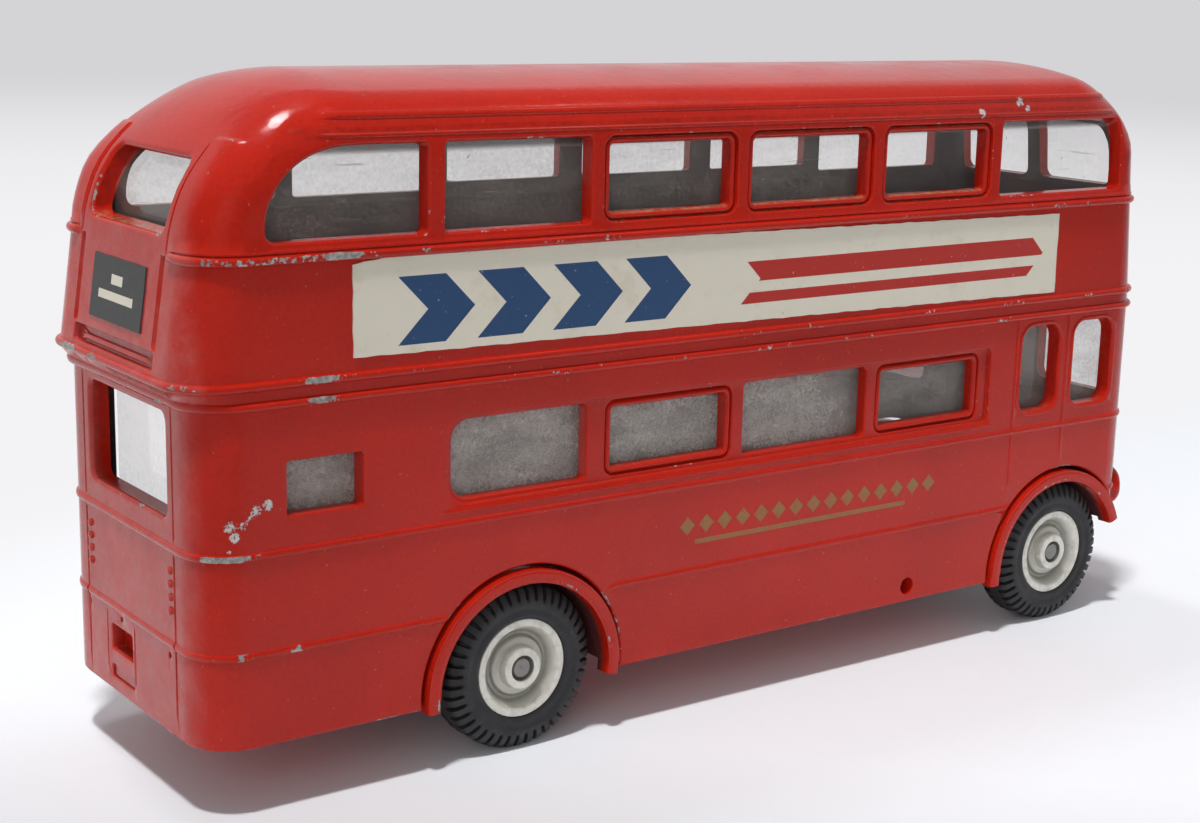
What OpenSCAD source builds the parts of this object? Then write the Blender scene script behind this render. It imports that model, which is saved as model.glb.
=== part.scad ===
// Toy double-deck bus: a die-cast body on a die-cast base, clear glazing inserts,
// and two steel axles that turn with their pressed-on wheels.
// +X is the front, +Y the nearside with the open platform, +Z is up.
// The origin is on the ground, under the middle of the body.

/* [Body] */
// Length between the lower end faces
body_len = 107.5; // [104:0.5:112]
// Width across the sides
body_w = 28; // [27.5:0.25:30]
// Height of the roof's crown above the ground
roof_z = 57.8; // [57.4:0.2:60]
// Height of the skirt's lower edge above the ground
skirt_z = 5.7; // [5.3:0.1:6]
// Height of the front panel's lower edge above the ground
nose_z = 9.9; // [9.6:0.1:10.3]
// Thickness of the cast walls
wall = 1.5; // [1.2:0.1:1.7]
// Thickness of the rear wall
rear_wall = 2.6; // [2.2:0.1:3]
// Radius of the upright corners
corner_r = 4; // [3:0.25:4.5]
// Height at which the upper deck begins
deck_z = 33.5; // [33.3:0.1:33.9]
// How far the upper deck stands out over the lower at the rear
rear_overhang = 1.2; // [0.6:0.1:1.6]
// How far the upper deck's rear leans in before the roof bends
rear_lean = 1.3; // [0.6:0.1:1.8]
// How far the upper deck's front leans in before the roof bends
front_lean = 1.5; // [0.6:0.1:2]

/* [Roof] */
// Radius of the roof's bend at the rear
rear_dome_r = 15; // [13:0.5:16]
// Radius of the roof's bend at the front
front_dome_r = 9; // [7:0.5:11]
// Radius of the roof's shoulders
shoulder_r = 4.5; // [3.5:0.25:5.5]
// Radius of the roof's camber
crown_r = 45; // [35:1:60]

/* [Beads] */
// How far beads and ribs stand out
bead_out = 0.35; // [0.2:0.05:0.4]
// Height of a bead
bead_h = 0.6; // [0.4:0.1:0.8]
// Height of the skirt bead's underside
skirt_bead_z = 13.1; // [12.5:0.1:14]
// Height of the waist bead's underside
waist_bead_z = 21.1; // [20.5:0.1:21.5]
// Space between the two deck ribs
rib_gap = 0.9; // [0.6:0.1:1]
// Height above the deck of the bead below the upper windows
upper_bead_up = 10.6; // [10.4:0.1:10.9]

/* [Windows] */
// Height of the upper windows' lower edge above the deck
upper_sill_up = 12; // [11.7:0.1:12.5]
// Height of the upper windows
upper_pane_h = 7.2; // [6.5:0.1:7.5]
// Distance of the first upper window from the rear face
upper_rear_margin = 5.8; // [5.5:0.1:7]
// Distance of the last upper window from the front face
upper_front_margin = 5.2; // [5:0.1:7]
// Radius of the first upper window's swept corner
swept_r = 6.4; // [4:0.2:6.6]
// Lower edge of the lower windows
lower_sill_z = 23.3; // [23:0.1:24]
// Height of the lower windows
lower_pane_h = 6.7; // [6.2:0.1:7.2]
// Distance of the lower window panel from the rear face
lower_rear_margin = 21.9; // [21.5:0.1:23]
// Distance of the lower window panel from the front face
lower_front_margin = 22.5; // [22:0.1:24]
// Depth of the panel that the lower windows share
panel_depth = 0.35; // [0.2:0.05:0.5]
// Space around the lower windows inside their panel
panel_margin = 0.4; // [0.2:0.05:0.5]
// Width of the frame of an opening window
rim_w = 0.7; // [0.5:0.05:0.9]
// How far the frame of an opening window is set back
rim_depth = 0.5; // [0.3:0.05:0.6]
// Corner radius of a framed window
window_r = 1.1; // [0.8:0.1:1.5]
// Corner radius of a plain window
plain_r = 0.4; // [0.2:0.1:0.8]
// Length of the stair window
stair_len = 6.8; // [6:0.1:7.5]
// Distance of the stair window from the rear face
stair_margin = 7.2; // [6.5:0.1:8]
// Lower edge of the stair window
stair_sill_z = 24.2; // [23.8:0.1:24.6]
// Height of the stair window
stair_pane_h = 4.4; // [3.8:0.1:4.8]

/* [Rear] */
// Width of the upper rear window
rear_upper_w = 14.4; // [13:0.2:16]
// Height of the upper rear window's lower edge above the deck
rear_upper_sill_up = 12.4; // [12:0.1:12.8]
// Height of the upper rear window
rear_upper_pane_h = 5.6; // [5.1:0.1:6.1]
// Width of the lower rear window
rear_lower_w = 15.2; // [14:0.2:16]
// Lower edge of the lower rear window
rear_lower_sill_z = 23.6; // [23.2:0.1:24]
// Height of the lower rear window
rear_lower_pane_h = 8.4; // [7.9:0.1:8.6]
// Sideways place of the tongue slot
slot_y = 2; // [0:0.5:4]
// Width of the tongue slot
slot_w = 4.6; // [4:0.1:5]
// Lower edge of the tongue slot
slot_z = 7; // [6.8:0.1:7.2]
// Height of the tongue slot
slot_h = 1.1; // [1:0.05:1.3]
// Height of the shallow number recess above the slot
recess_h = 2.3; // [1.5:0.1:3]
// Depth of the number recess
recess_depth = 1.2; // [0.6:0.1:1.6]
// Width of the bar between the slot and the recess
slot_bar = 1.3; // [1:0.1:1.6]

/* [Front] */
// Length of the bonnet beside the cab
bonnet_len = 13.7; // [13:0.1:15]
// Height of the bonnet's top
bonnet_z = 22.2; // [22:0.1:23]
// Width of the cab, from the offside
cab_w = 14.5; // [13.5:0.25:15]
// Lower edge of the cab windows
cab_sill_z = 23.2; // [23:0.1:24]
// Height of the cab windows
cab_pane_h = 9; // [8.3:0.1:9.2]
// Length of the cab's rear side window
quarter_len = 5.6; // [5:0.1:6]
// Length of the cab's front side window
door_len = 6.2; // [5.5:0.1:6.5]
// Width of the pillar between the cab's side windows
door_pillar = 1.9; // [1.5:0.1:2.5]
// Distance of the cab's front side window from the front face
door_margin = 4.4; // [4.2:0.1:5]
// Width of each upper front window
front_pane_w = 9.8; // [9:0.1:10.2]
// Width of the post between the upper front windows
front_post = 1.6; // [1.2:0.1:2.4]
// Width of the windscreen
screen_w = 10.4; // [9:0.1:10.8]
// Distance of the windscreen from the cab's nearside face
screen_margin = 1.9; // [1.7:0.1:2.4]
// Width of the radiator shell
radiator_w = 7.6; // [6:0.2:9]
// Distance of the radiator from the cab's nearside face
radiator_margin = 1; // [0.4:0.1:2]
// Lower edge of the radiator
radiator_z = 11; // [10.6:0.1:12]
// Height of the radiator
radiator_h = 9.4; // [8:0.2:9.8]
// How far the radiator stands out of the front panel
radiator_out = 0.7; // [0.4:0.1:1]
// Frame left around the radiator's slats
radiator_frame = 0.9; // [0.6:0.1:1.2]
// Number of slots in the radiator
radiator_slots = 6; // [4:1:8]
// Radius of a headlamp
lamp_r = 2.1; // [1.7:0.1:2.3]
// How far a headlamp stands out of the front panel
lamp_out = 1.3; // [0.8:0.1:1.5]
// Height of the headlamps' centres
lamp_z = 12.7; // [12.4:0.1:13.2]
// Distance of a headlamp's centre from the side
lamp_margin = 3.3; // [2.8:0.1:3.6]

/* [Platform] */
// Width of the corner post behind the doorway
post_len = 4.8; // [4.4:0.1:5.4]
// Length of the platform doorway
doorway_len = 13; // [11:0.2:13.4]
// Upper edge of the doorway
doorway_head_z = 32; // [31:0.1:32.2]
// Corner radius of the doorway
doorway_r = 1.4; // [0.8:0.1:2]

/* [Base] */
// Height of the base plate's underside
base_z = 6.4; // [6.2:0.05:6.5]
// Thickness of the base plate
base_t = 1.5; // [1.3:0.1:1.6]
// Clearance between the base and the body
base_gap = 0.1; // [0.05:0.05:0.2]
// Inner radius of the mudguards
guard_r = 8.65; // [8.5:0.05:8.8]
// Thickness of the mudguards
guard_t = 1.15; // [1:0.05:1.25]
// Height of the mudguards' centre
guard_z = 6.5; // [6.3:0.05:6.6]
// Gap between a mudguard and the body's arch
arch_gap = 0.4; // [0.25:0.05:0.45]
// How far the mudguards stand out of the body's side
guard_out = 0.4; // [0.2:0.1:0.6]
// Thickness of the wheel wells' inner walls
well_wall = 1.2; // [1:0.1:1.4]
// Length of an axle bearing
bearing_len = 2.2; // [1.8:0.1:3]
// Radius of an axle bearing's boss
bearing_r = 2.1; // [1.9:0.1:2.3]
// Half the length of the plate's window over an axle
axle_room = 2.4; // [2.2:0.1:3]
// Distance of the rivet from the front face
rivet_margin = 4.7; // [4.4:0.1:5]
// Radius of the rivet's shank
rivet_r = 1; // [0.8:0.05:1.1]
// Radius of the rivet's head
rivet_head_r = 1.9; // [1.6:0.1:2.2]
// Thickness of the rivet's head
rivet_head_h = 0.6; // [0.5:0.05:0.8]
// Depth of the rivet's shank in its post
rivet_depth = 4; // [3:0.25:5]
// Radius of the rivet's post
rivet_post_r = 1.9; // [1.7:0.1:2.1]
// Radius of the small hole in the offside skirt
skirt_hole_r = 0.85; // [0.6:0.05:0.95]
// Distance of the skirt hole behind the front axle
skirt_hole_back = 21.6; // [20:0.2:24]
// Height of the skirt hole above the skirt's edge
skirt_hole_up = 1.6; // [1.4:0.1:2.2]

/* [Glazing] */
// Thickness of the glazing
glaze_t = 0.8; // [0.6:0.05:1]
// Clearance between the glazing and the walls
glaze_gap = 0.08; // [0.05:0.01:0.12]
// How far the glazing reaches past a window's edge
glaze_lap = 0.6; // [0.4:0.05:0.7]

/* [Wheels] */
// Distance between the axles
wheelbase = 67; // [66:0.25:68]
// Distance of the front axle from the front face
front_axle_margin = 10.85; // [10.75:0.05:11]
// Radius of the tyres
tyre_r = 7.37; // [7.2:0.05:7.4]
// Width of the tyres
tyre_w = 4.4; // [4:0.1:4.6]
// Width of the lugged band on each shoulder of a tyre
lug_w = 1.5; // [1:0.1:1.8]
// Depth of the grooves between the lugs
lug_depth = 0.5; // [0.3:0.05:0.7]
// How far the band between the lugs lies below them
band_drop = 0.15; // [0.1:0.05:0.25]
// Number of lugs around a tyre
lug_count = 44; // [30:2:50]
// Radius of the hubs, on which the tyres sit
hub_r = 4.4; // [4:0.1:4.6]
// How far the hubs' faces lie inside the body's sides
hub_inset = 0.5; // [0.4:0.05:0.8]
// Width of the bright rim around a hub
hub_rim = 0.75; // [0.5:0.05:1]
// Depth of a hub's dish
dish_depth = 1.1; // [0.8:0.1:1.4]
// Radius of a hub's centre boss
boss_r = 1.85; // [1.6:0.05:2.1]
// How far the boss stands out of the hub's face
boss_out = 0.2; // [0.1:0.05:0.4]
// Radius of the step around the boss
step_r = 2.6; // [2.3:0.1:2.8]
// Height of the step around the boss
step_h = 0.35; // [0.2:0.05:0.5]
// Radius of the axles
axle_r = 1; // [0.8:0.05:1.1]
// Running clearance of the axles in their bearings
axle_gap = 0.05; // [0.03:0.01:0.08]
// Play between a hub and its bearing
side_play = 0.3; // [0.2:0.05:0.5]
// Length of the turned chamfer on an axle's ends
axle_chamfer = 0.2; // [0.1:0.05:0.3]

/* [Labels] */
// Length of the side labels
label_len = 80.3; // [70:0.5:82]
// Height of the side labels
label_h = 7.9; // [7:0.1:8.2]
// Height of the side labels' lower edge above the deck
label_up = 2.1; // [2:0.1:2.5]
// Thickness of the labels
label_t = 0.12; // [0.08:0.01:0.2]
// Width of the destination panels
panel_w = 14.4; // [13:0.2:15]
// Height of the destination panels
panel_h = 6.7; // [6:0.1:6.9]
// Distance of the destination panels above the deck
panel_up = 3.6; // [3.4:0.1:3.8]
// Depth of the destination panels
dest_depth = 0.4; // [0.3:0.05:0.6]
// Width of a destination label
dest_w = 10.2; // [9:0.2:12]
// Height of a destination label
dest_h = 5.2; // [4.5:0.1:5.6]

/* [Hidden] */
$fn = 64;
// Overrun of cuts
cut = 2;
half_len = body_len / 2;
half_w = body_w / 2;
// Heights of the windows' edges, the upper bead and the labels
upper_sill_z = deck_z + upper_sill_up;
upper_head_z = upper_sill_z + upper_pane_h;
upper_bead_z = deck_z + upper_bead_up;
lower_head_z = lower_sill_z + lower_pane_h;
stair_head_z = stair_sill_z + stair_pane_h;
rear_upper_sill_z = deck_z + rear_upper_sill_up;
rear_upper_head_z = rear_upper_sill_z + rear_upper_pane_h;
rear_lower_head_z = rear_lower_sill_z + rear_lower_pane_h;
cab_head_z = cab_sill_z + cab_pane_h;
label_z = deck_z + label_up;
// Places of the upper windows as shares of their row, from the rear
upper_pane_shares = [
    [0, 0.146], [0.163, 0.310], [0.323, 0.473], [0.485, 0.642], [0.654, 0.803], [0.818, 1]
];
// Which upper windows have an opening frame
upper_framed = [false, false, true, true, true, false];
// Places of the lower windows as shares of their panel, from the rear
lower_pane_shares = [[0.006, 0.222], [0.252, 0.480], [0.497, 0.742], [0.756, 0.982]];
// Part of a lug's pitch that the lug takes up
lug_share = 0.58;
// Part of the bonnet's radiator pitch that a slot takes up
slot_share = 0.55;
upper_row_x = upper_rear_margin - half_len;
upper_row_len = body_len - upper_rear_margin - upper_front_margin;
lower_row_x = lower_rear_margin - half_len;
lower_row_len = body_len - lower_rear_margin - lower_front_margin;
// Rear and front of the upper deck, and the bends of its roof
rear_top_x = -half_len - rear_overhang;
rear_dome_x = rear_top_x + rear_lean + rear_dome_r;
rear_dome_z = roof_z - rear_dome_r;
front_dome_x = half_len - front_lean - front_dome_r;
front_dome_z = roof_z - front_dome_r;
rear_angle = atan2(rear_lean, rear_dome_z - deck_z);
front_angle = atan2(front_lean, front_dome_z - deck_z);
// The shoulder arcs meet the camber's arc smoothly
shoulder_y = half_w - shoulder_r;
crown_z = roof_z - crown_r;
shoulder_z = crown_z + sqrt(pow(crown_r - shoulder_r, 2) - pow(shoulder_y, 2));
// Half cab
bulkhead_x = half_len - bonnet_len;
cab_side_y = cab_w - half_w;
notch_head_z = deck_z - bead_h;
// Wheels
front_axle_x = half_len - front_axle_margin;
rear_axle_x = front_axle_x - wheelbase;
axle_z = tyre_r;
arch_r = guard_r + guard_t + arch_gap;
hub_face_y = half_w - hub_inset;
tyre_out = boss_out;
well_y = hub_face_y + tyre_out - tyre_w - side_play * 2;
bearing_y = well_y - bearing_len;
base_half_w = half_w - wall - base_gap;
base_top_z = base_z + base_t;
doorway_x = post_len - half_len;
rivet_x = half_len - rivet_margin;
rivet_post_z = nose_z + base_t;

// Drawing tools

// Waste outside a round corner
module corner_waste(corner, flip_x, flip_y, r)
    translate(corner)
        mirror([flip_x ? 1 : 0, 0])
            mirror([0, flip_y ? 1 : 0])
                difference() {
                    translate([-cut, -cut])
                        square(r + cut);
                    translate([r, r])
                        circle(r);
                }

// Rectangle between two corners, with a radius at its lower left, lower right, upper right and upper left
module pane(low, high, radii) {
    difference() {
        translate(low)
            square(high - low);
        corner_waste(low, false, false, radii[0]);
        corner_waste([high.x, low.y], true, false, radii[1]);
        corner_waste(high, true, true, radii[2]);
        corner_waste([low.x, high.y], false, true, radii[3]);
    }
}

// Rectangle with the same radius at its four corners
module even_pane(low, high, r)
    pane(low, high, [r, r, r, r]);

// Prism across the bus from a drawing in x and z
module across(y_from, y_to)
    translate([0, y_to, 0])
        rotate([90, 0, 0])
            linear_extrude(y_to - y_from)
                children();

// Prism along the bus from a drawing in y and z
module along(x_from, x_to)
    translate([x_from, 0, 0])
        rotate([90, 0, 90])
            linear_extrude(x_to - x_from)
                children();

// Cut through one side wall, -1 for the offside and 1 for the nearside
module through_side(side)
    across(side > 0 ? half_w - wall - cut : -half_w - cut, side > 0 ? half_w + cut : wall + cut - half_w)
        children();

// Cut of a given depth into one side's face
module into_side(side, depth)
    across(side > 0 ? half_w - depth : -half_w - cut, side > 0 ? half_w + cut : depth - half_w)
        children();

// Cylinder across the bus
module rod(x, z, y_from, y_to, r)
    translate([x, y_to, z])
        rotate([90, 0, 0])
            cylinder(y_to - y_from, r, r);

// Slice of a form between two heights
module slice(z_from, z_to) {
    intersection() {
        translate([-body_len, -body_w, z_from])
            cube([2 * body_len, 2 * body_w, z_to - z_from]);
        children();
    }
}

// Body forms

// Lower deck, drawn in from its outer faces
module lower_form(inset)
    translate([0, 0, skirt_z - (inset > 0 ? cut : 0)])
        linear_extrude(deck_z - skirt_z + (inset > 0 ? cut : 0))
            even_pane([inset - half_len, inset - half_w], [half_len - inset, half_w - inset], corner_r - inset);

// Side view of the upper deck
module upper_profile(inset) {
    polygon([
        [rear_top_x + inset, deck_z],
        [rear_dome_x - rear_dome_r + inset, rear_dome_z],
        [rear_dome_x, roof_z - inset],
        [front_dome_x, roof_z - inset],
        [front_dome_x + front_dome_r - inset, front_dome_z],
        [half_len - inset, deck_z]
    ]);
    translate([rear_dome_x, rear_dome_z])
        circle(rear_dome_r - inset);
    translate([front_dome_x, front_dome_z])
        circle(front_dome_r - inset);
}

// End view of the upper deck
module upper_section(inset) {
    meet_y = shoulder_y * (crown_r - inset) / (crown_r - shoulder_r);
    translate([inset - half_w, 0])
        square([body_w - 2 * inset, shoulder_z]);
    for (side = [-1, 1])
        translate([side * shoulder_y, shoulder_z])
            circle(shoulder_r - inset);
    intersection() {
        translate([0, crown_z])
            circle(crown_r - inset);
        translate([-meet_y, 0])
            square([2 * meet_y, roof_z]);
    }
}

// Upper deck, drawn in from its outer faces
module upper_form(inset) {
    intersection() {
        translate([0, 0, deck_z])
            linear_extrude(roof_z - deck_z)
                even_pane([rear_top_x + inset, inset - half_w], [half_len - inset, half_w - inset],
                    corner_r - inset);
        across(-body_w, body_w)
            upper_profile(inset);
        along(-body_len, body_len)
            upper_section(inset);
    }
}

// Open space over the bonnet, grown by a margin
module notch(grow)
    translate([bulkhead_x - grow, cab_side_y - grow, bonnet_z - grow])
        cube([bonnet_len + cut + grow, body_w, notch_head_z - bonnet_z + 2 * grow]);

// Space inside the walls, at a margin from them
module saloon(margin) {
    difference() {
        intersection() {
            union() {
                lower_form(wall + margin);
                upper_form(wall + margin);
            }
            translate([rear_wall + margin - half_len, -body_w, 0])
                cube([body_len, 2 * body_w, roof_z]);
        }
        notch(wall + margin);
    }
}

module beads() {
    for (z = [skirt_bead_z, waist_bead_z, deck_z - bead_h])
        slice(z, z + bead_h)
            lower_form(-bead_out);
    for (z = [deck_z + rib_gap, upper_bead_z])
        slice(z, z + bead_h)
            upper_form(-bead_out);
}

// Domed headlamp, part of a ball whose edge lies on the front panel
module headlamp(side) {
    ball_r = (pow(lamp_r, 2) + pow(lamp_out, 2)) / (2 * lamp_out);
    translate([half_len + lamp_out - ball_r, side * (half_w - lamp_margin), lamp_z])
        sphere(ball_r);
}

module radiator() {
    low_y = cab_side_y + radiator_margin;
    pitch = (radiator_w - 2 * radiator_frame) / radiator_slots;
    difference() {
        along(half_len - wall, half_len + radiator_out)
            even_pane([low_y, radiator_z], [low_y + radiator_w, radiator_z + radiator_h], radiator_frame);
        for (i = [0 : radiator_slots - 1])
            translate([half_len, low_y + radiator_frame + (i + (1 - slot_share) / 2) * pitch,
                    radiator_z + radiator_frame])
                cube([cut, slot_share * pitch, radiator_h - 2 * radiator_frame]);
    }
}

// Upper windows of one side
module upper_windows(side) {
    for (i = [0 : len(upper_pane_shares) - 1]) {
        low = [upper_row_x + upper_pane_shares[i][0] * upper_row_len, upper_sill_z];
        high = [upper_row_x + upper_pane_shares[i][1] * upper_row_len, upper_head_z];
        if (upper_framed[i]) {
            into_side(side, rim_depth)
                even_pane(low, high, window_r);
            through_side(side)
                even_pane(low + [rim_w, rim_w], high - [rim_w, rim_w], window_r);
        } else {
            through_side(side)
                pane(low, high, [plain_r, plain_r, plain_r, i == 0 ? swept_r : plain_r]);
        }
    }
}

// Lower windows of one side, in their shared panel
module lower_windows(side) {
    into_side(side, panel_depth)
        even_pane([lower_row_x, lower_sill_z - panel_margin],
            [lower_row_x + lower_row_len, lower_head_z + panel_margin], window_r);
    for (share = lower_pane_shares)
        through_side(side)
            even_pane([lower_row_x + share[0] * lower_row_len, lower_sill_z],
                [lower_row_x + share[1] * lower_row_len, lower_head_z], window_r);
}

// Windows that only the offside has
module offside_windows() {
    door_x = half_len - door_margin - door_len;
    through_side(-1)
        even_pane([stair_margin - half_len, stair_sill_z],
            [stair_margin + stair_len - half_len, stair_head_z], plain_r);
    through_side(-1)
        even_pane([door_x, cab_sill_z], [door_x + door_len, cab_head_z], window_r);
    through_side(-1)
        even_pane([door_x - door_pillar - quarter_len, cab_sill_z], [door_x - door_pillar, cab_head_z], window_r);
}

module end_windows() {
    along(-body_len, rear_wall + cut - half_len)
        even_pane([-rear_lower_w / 2, rear_lower_sill_z], [rear_lower_w / 2, rear_lower_head_z], window_r);
    along(-body_len, rear_dome_x - rear_dome_r + rear_wall + cut)
        even_pane([-rear_upper_w / 2, rear_upper_sill_z], [rear_upper_w / 2, rear_upper_head_z], window_r);
    for (side = [-1, 1])
        along(half_len - front_lean - front_dome_r, body_len)
            even_pane([(side * (front_pane_w + front_post) - front_pane_w) / 2, upper_sill_z],
                [(side * (front_pane_w + front_post) + front_pane_w) / 2, upper_head_z], window_r);
    along(half_len - wall - cut, body_len)
        even_pane([cab_side_y - screen_margin - screen_w, cab_sill_z],
            [cab_side_y - screen_margin, cab_head_z], window_r);
    // Windows of the bulkhead and of the cab's nearside, which look over the bonnet
    along(bulkhead_x - wall - cut, bulkhead_x + cut)
        even_pane([cab_side_y + screen_margin, cab_sill_z],
            [half_w - wall - screen_margin, cab_head_z - screen_margin / 2], window_r);
    across(cab_side_y - wall - cut, cab_side_y + cut)
        even_pane([bulkhead_x + screen_margin, cab_sill_z],
            [half_len - wall - screen_margin, cab_head_z - screen_margin / 2], window_r);
}

// Slot for the base's tongue, with the number recess above it
module tongue_slot() {
    translate([-body_len, slot_y - slot_w / 2, slot_z])
        cube([body_len - half_len + rear_wall + cut, slot_w, slot_h]);
    translate([-body_len, slot_y - slot_w / 2, slot_z + slot_h + slot_bar])
        cube([body_len - half_len + recess_depth, slot_w, recess_h]);
}

// Frame of the leaning rear face: z runs up the face and x into the body
module on_rear()
    translate([rear_top_x, 0, deck_z])
        rotate([0, rear_angle, 0])
            children();

// Frame of the leaning front face: z runs up the face and x out of the body
module on_front()
    translate([half_len, 0, deck_z])
        rotate([0, -front_angle, 0])
            children();

module destination_panels() {
    on_rear()
        translate([-cut, -panel_w / 2, panel_up])
            cube([cut + dest_depth, panel_w, panel_h]);
    on_front()
        translate([-dest_depth, -panel_w / 2, panel_up])
            cube([cut + dest_depth, panel_w, panel_h]);
}

module arches() {
    for (x = [rear_axle_x, front_axle_x])
        rod(x, guard_z, -body_w, body_w, arch_r);
    translate([front_axle_x, -body_w, 0])
        cube([body_len, 2 * body_w, nose_z]);
}

module doorway()
    through_side(1)
        even_pane([doorway_x, base_top_z], [doorway_x + doorway_len, doorway_head_z], doorway_r);

module rivet_hole(z_from, z_to)
    translate([rivet_x, 0, z_from])
        cylinder(z_to - z_from, rivet_r, rivet_r);

// Nodes

// Painted die-cast body
module body_shell() {
    color("firebrick")
        difference() {
            union() {
                difference() {
                    union() {
                        lower_form(0);
                        upper_form(0);
                        beads();
                        radiator();
                        for (side = [-1, 1])
                            headlamp(side);
                    }
                    notch(0);
                    saloon(0);
                    for (side = [-1, 1]) {
                        upper_windows(side);
                        lower_windows(side);
                    }
                    offside_windows();
                    end_windows();
                    destination_panels();
                    tongue_slot();
                    arches();
                    doorway();
                    rod(front_axle_x - skirt_hole_back, skirt_z + skirt_hole_up, -body_w, 0, skirt_hole_r);
                }
                translate([rivet_x, 0, rivet_post_z])
                    cylinder(bonnet_z - rivet_post_z, rivet_post_r, rivet_post_r);
            }
            rivet_hole(0, rivet_post_z + rivet_depth);
        }
}

// Wheel well of one side, with the mudguard that stands in the body's arch
module wheel_well(x, side)
    mirror([0, side > 0 ? 0 : 1, 0])
        rod(x, guard_z, well_y - well_wall, half_w + guard_out, guard_r + guard_t);

// Room for a wheel, open below and to the side
module wheel_room(x, side)
    mirror([0, side > 0 ? 0 : 1, 0])
        rod(x, guard_z, well_y, body_w, guard_r);

// Painted die-cast base
module chassis_base() {
    color("brown")
        difference() {
            union() {
                difference() {
                    union() {
                        translate([0, 0, base_z])
                            linear_extrude(base_t)
                                even_pane([rear_wall + base_gap - half_len, -base_half_w],
                                    [front_axle_x - axle_room, base_half_w], corner_r - wall);
                        translate([front_axle_x + axle_room, -well_y, nose_z])
                            cube([front_axle_margin - axle_room - wall - base_gap, 2 * well_y, base_t]);
                        translate([base_gap * 2 - half_len, slot_y - slot_w / 2 + base_gap, slot_z + base_gap])
                            cube([rear_wall + corner_r, slot_w - 2 * base_gap, slot_h - 2 * base_gap]);
                        for (x = [rear_axle_x, front_axle_x], side = [-1, 1])
                            wheel_well(x, side);
                    }
                    for (x = [rear_axle_x, front_axle_x], side = [-1, 1])
                        wheel_room(x, side);
                    // Nothing reaches below the plate, or below the nose in front of the front axle
                    translate([-body_len, -body_w, -body_w])
                        cube([2 * body_len, 2 * body_w, body_w + base_z]);
                    translate([front_axle_x + bearing_r, -body_w, 0])
                        cube([body_len, 2 * body_w, nose_z]);
                    for (x = [rear_axle_x, front_axle_x])
                        translate([x - axle_room, well_wall - well_y, 0])
                            cube([2 * axle_room, 2 * (well_y - well_wall), nose_z]);
                }
                for (x = [rear_axle_x, front_axle_x])
                    for (side = [-1, 1])
                        mirror([0, side > 0 ? 0 : 1, 0])
                            rod(x, axle_z, bearing_y, well_y, bearing_r);
            }
            for (x = [rear_axle_x, front_axle_x])
                rod(x, axle_z, -body_w, body_w, axle_r + axle_gap);
            rivet_hole(0, rivet_post_z + cut);
        }
}

// Glazing that follows the inside of the walls between two heights
module glazing_ring(z_from, z_to) {
    difference() {
        slice(z_from, z_to)
            saloon(glaze_gap);
        saloon(glaze_gap + glaze_t);
    }
}

module upper_glazing()
    color("lightsteelblue", 0.4)
        glazing_ring(upper_sill_z - glaze_lap, upper_head_z + glaze_lap);

module lower_glazing() {
    color("lightsteelblue", 0.4)
        difference() {
            glazing_ring(cab_sill_z - glaze_lap, cab_head_z + glaze_lap);
            // Open platform
            translate([-body_len, rear_lower_w / 2 + glaze_lap, 0])
                cube([body_len + doorway_x + doorway_len + glaze_lap, body_w, roof_z]);
        }
}

// Rivet that holds the base at the front
module front_rivet() {
    color("silver") {
        rivet_hole(nose_z, rivet_post_z + rivet_depth);
        translate([rivet_x, 0, nose_z - rivet_head_h])
            cylinder(rivet_head_h, rivet_head_r, rivet_head_r);
    }
}

// Steel rod that turns in the base's bearings
module axle(x) {
    straight = 2 * (hub_face_y - axle_chamfer);
    color("dimgray")
        translate([x, 0, axle_z])
            rotate([90, 0, 0]) {
                cylinder(straight, axle_r, axle_r, center = true);
                for (end = [0, 1])
                    mirror([0, 0, end])
                        translate([0, 0, straight / 2])
                            cylinder(axle_chamfer, axle_r, axle_r - axle_chamfer);
            }
}

// Places a wheel piece: its z runs from the hub's face towards the middle of the bus
module at_wheel(x, side)
    translate([x, side * hub_face_y, axle_z])
        rotate([side * 90, 0, 0])
            children();

// Dished hub, turned about the axle
module hub(x, side) {
    hub_depth = tyre_w - tyre_out;
    bearing_reach = hub_face_y - well_y - side_play;
    color("silver")
        at_wheel(x, side)
            rotate_extrude()
                polygon([
                    [axle_r, -boss_out],
                    [boss_r, -boss_out],
                    [boss_r, dish_depth - step_h],
                    [step_r, dish_depth - step_h],
                    [step_r, dish_depth],
                    [hub_r - hub_rim - dish_depth / 2, dish_depth],
                    [hub_r - hub_rim, 0],
                    [hub_r, 0],
                    [hub_r, hub_depth],
                    [boss_r, hub_depth],
                    [boss_r, bearing_reach],
                    [axle_r, bearing_reach]
                ]);
}

// Outline of a lugged band, whose roots lie inside the tyre's core
function lug_points(n, r_top, r_root) = [
    for (i = [0 : n - 1], k = [0 : 3])
        let (turn = 360 * (i + (k == 0 || k == 1 ? 0 : lug_share)) / n)
        let (r = k == 0 || k == 3 ? r_root : r_top)
        r * [cos(turn), sin(turn)]
];

// Rubber tyre with lugs across both shoulders and a plain band between them
module tyre(x, side) {
    color("#202020")
        at_wheel(x, side)
            translate([0, 0, -tyre_out])
                difference() {
                    union() {
                        cylinder(tyre_w, tyre_r - lug_depth, tyre_r - lug_depth);
                        translate([0, 0, lug_w])
                            cylinder(tyre_w - 2 * lug_w, tyre_r - band_drop, tyre_r - band_drop);
                        for (z = [0, tyre_w - lug_w])
                            translate([0, 0, z])
                                linear_extrude(lug_w)
                                    polygon(lug_points(lug_count, tyre_r, tyre_r - 2 * lug_depth));
                    }
                    translate([0, 0, -cut])
                        cylinder(tyre_w + 2 * cut, hub_r, hub_r);
                }
}

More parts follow.
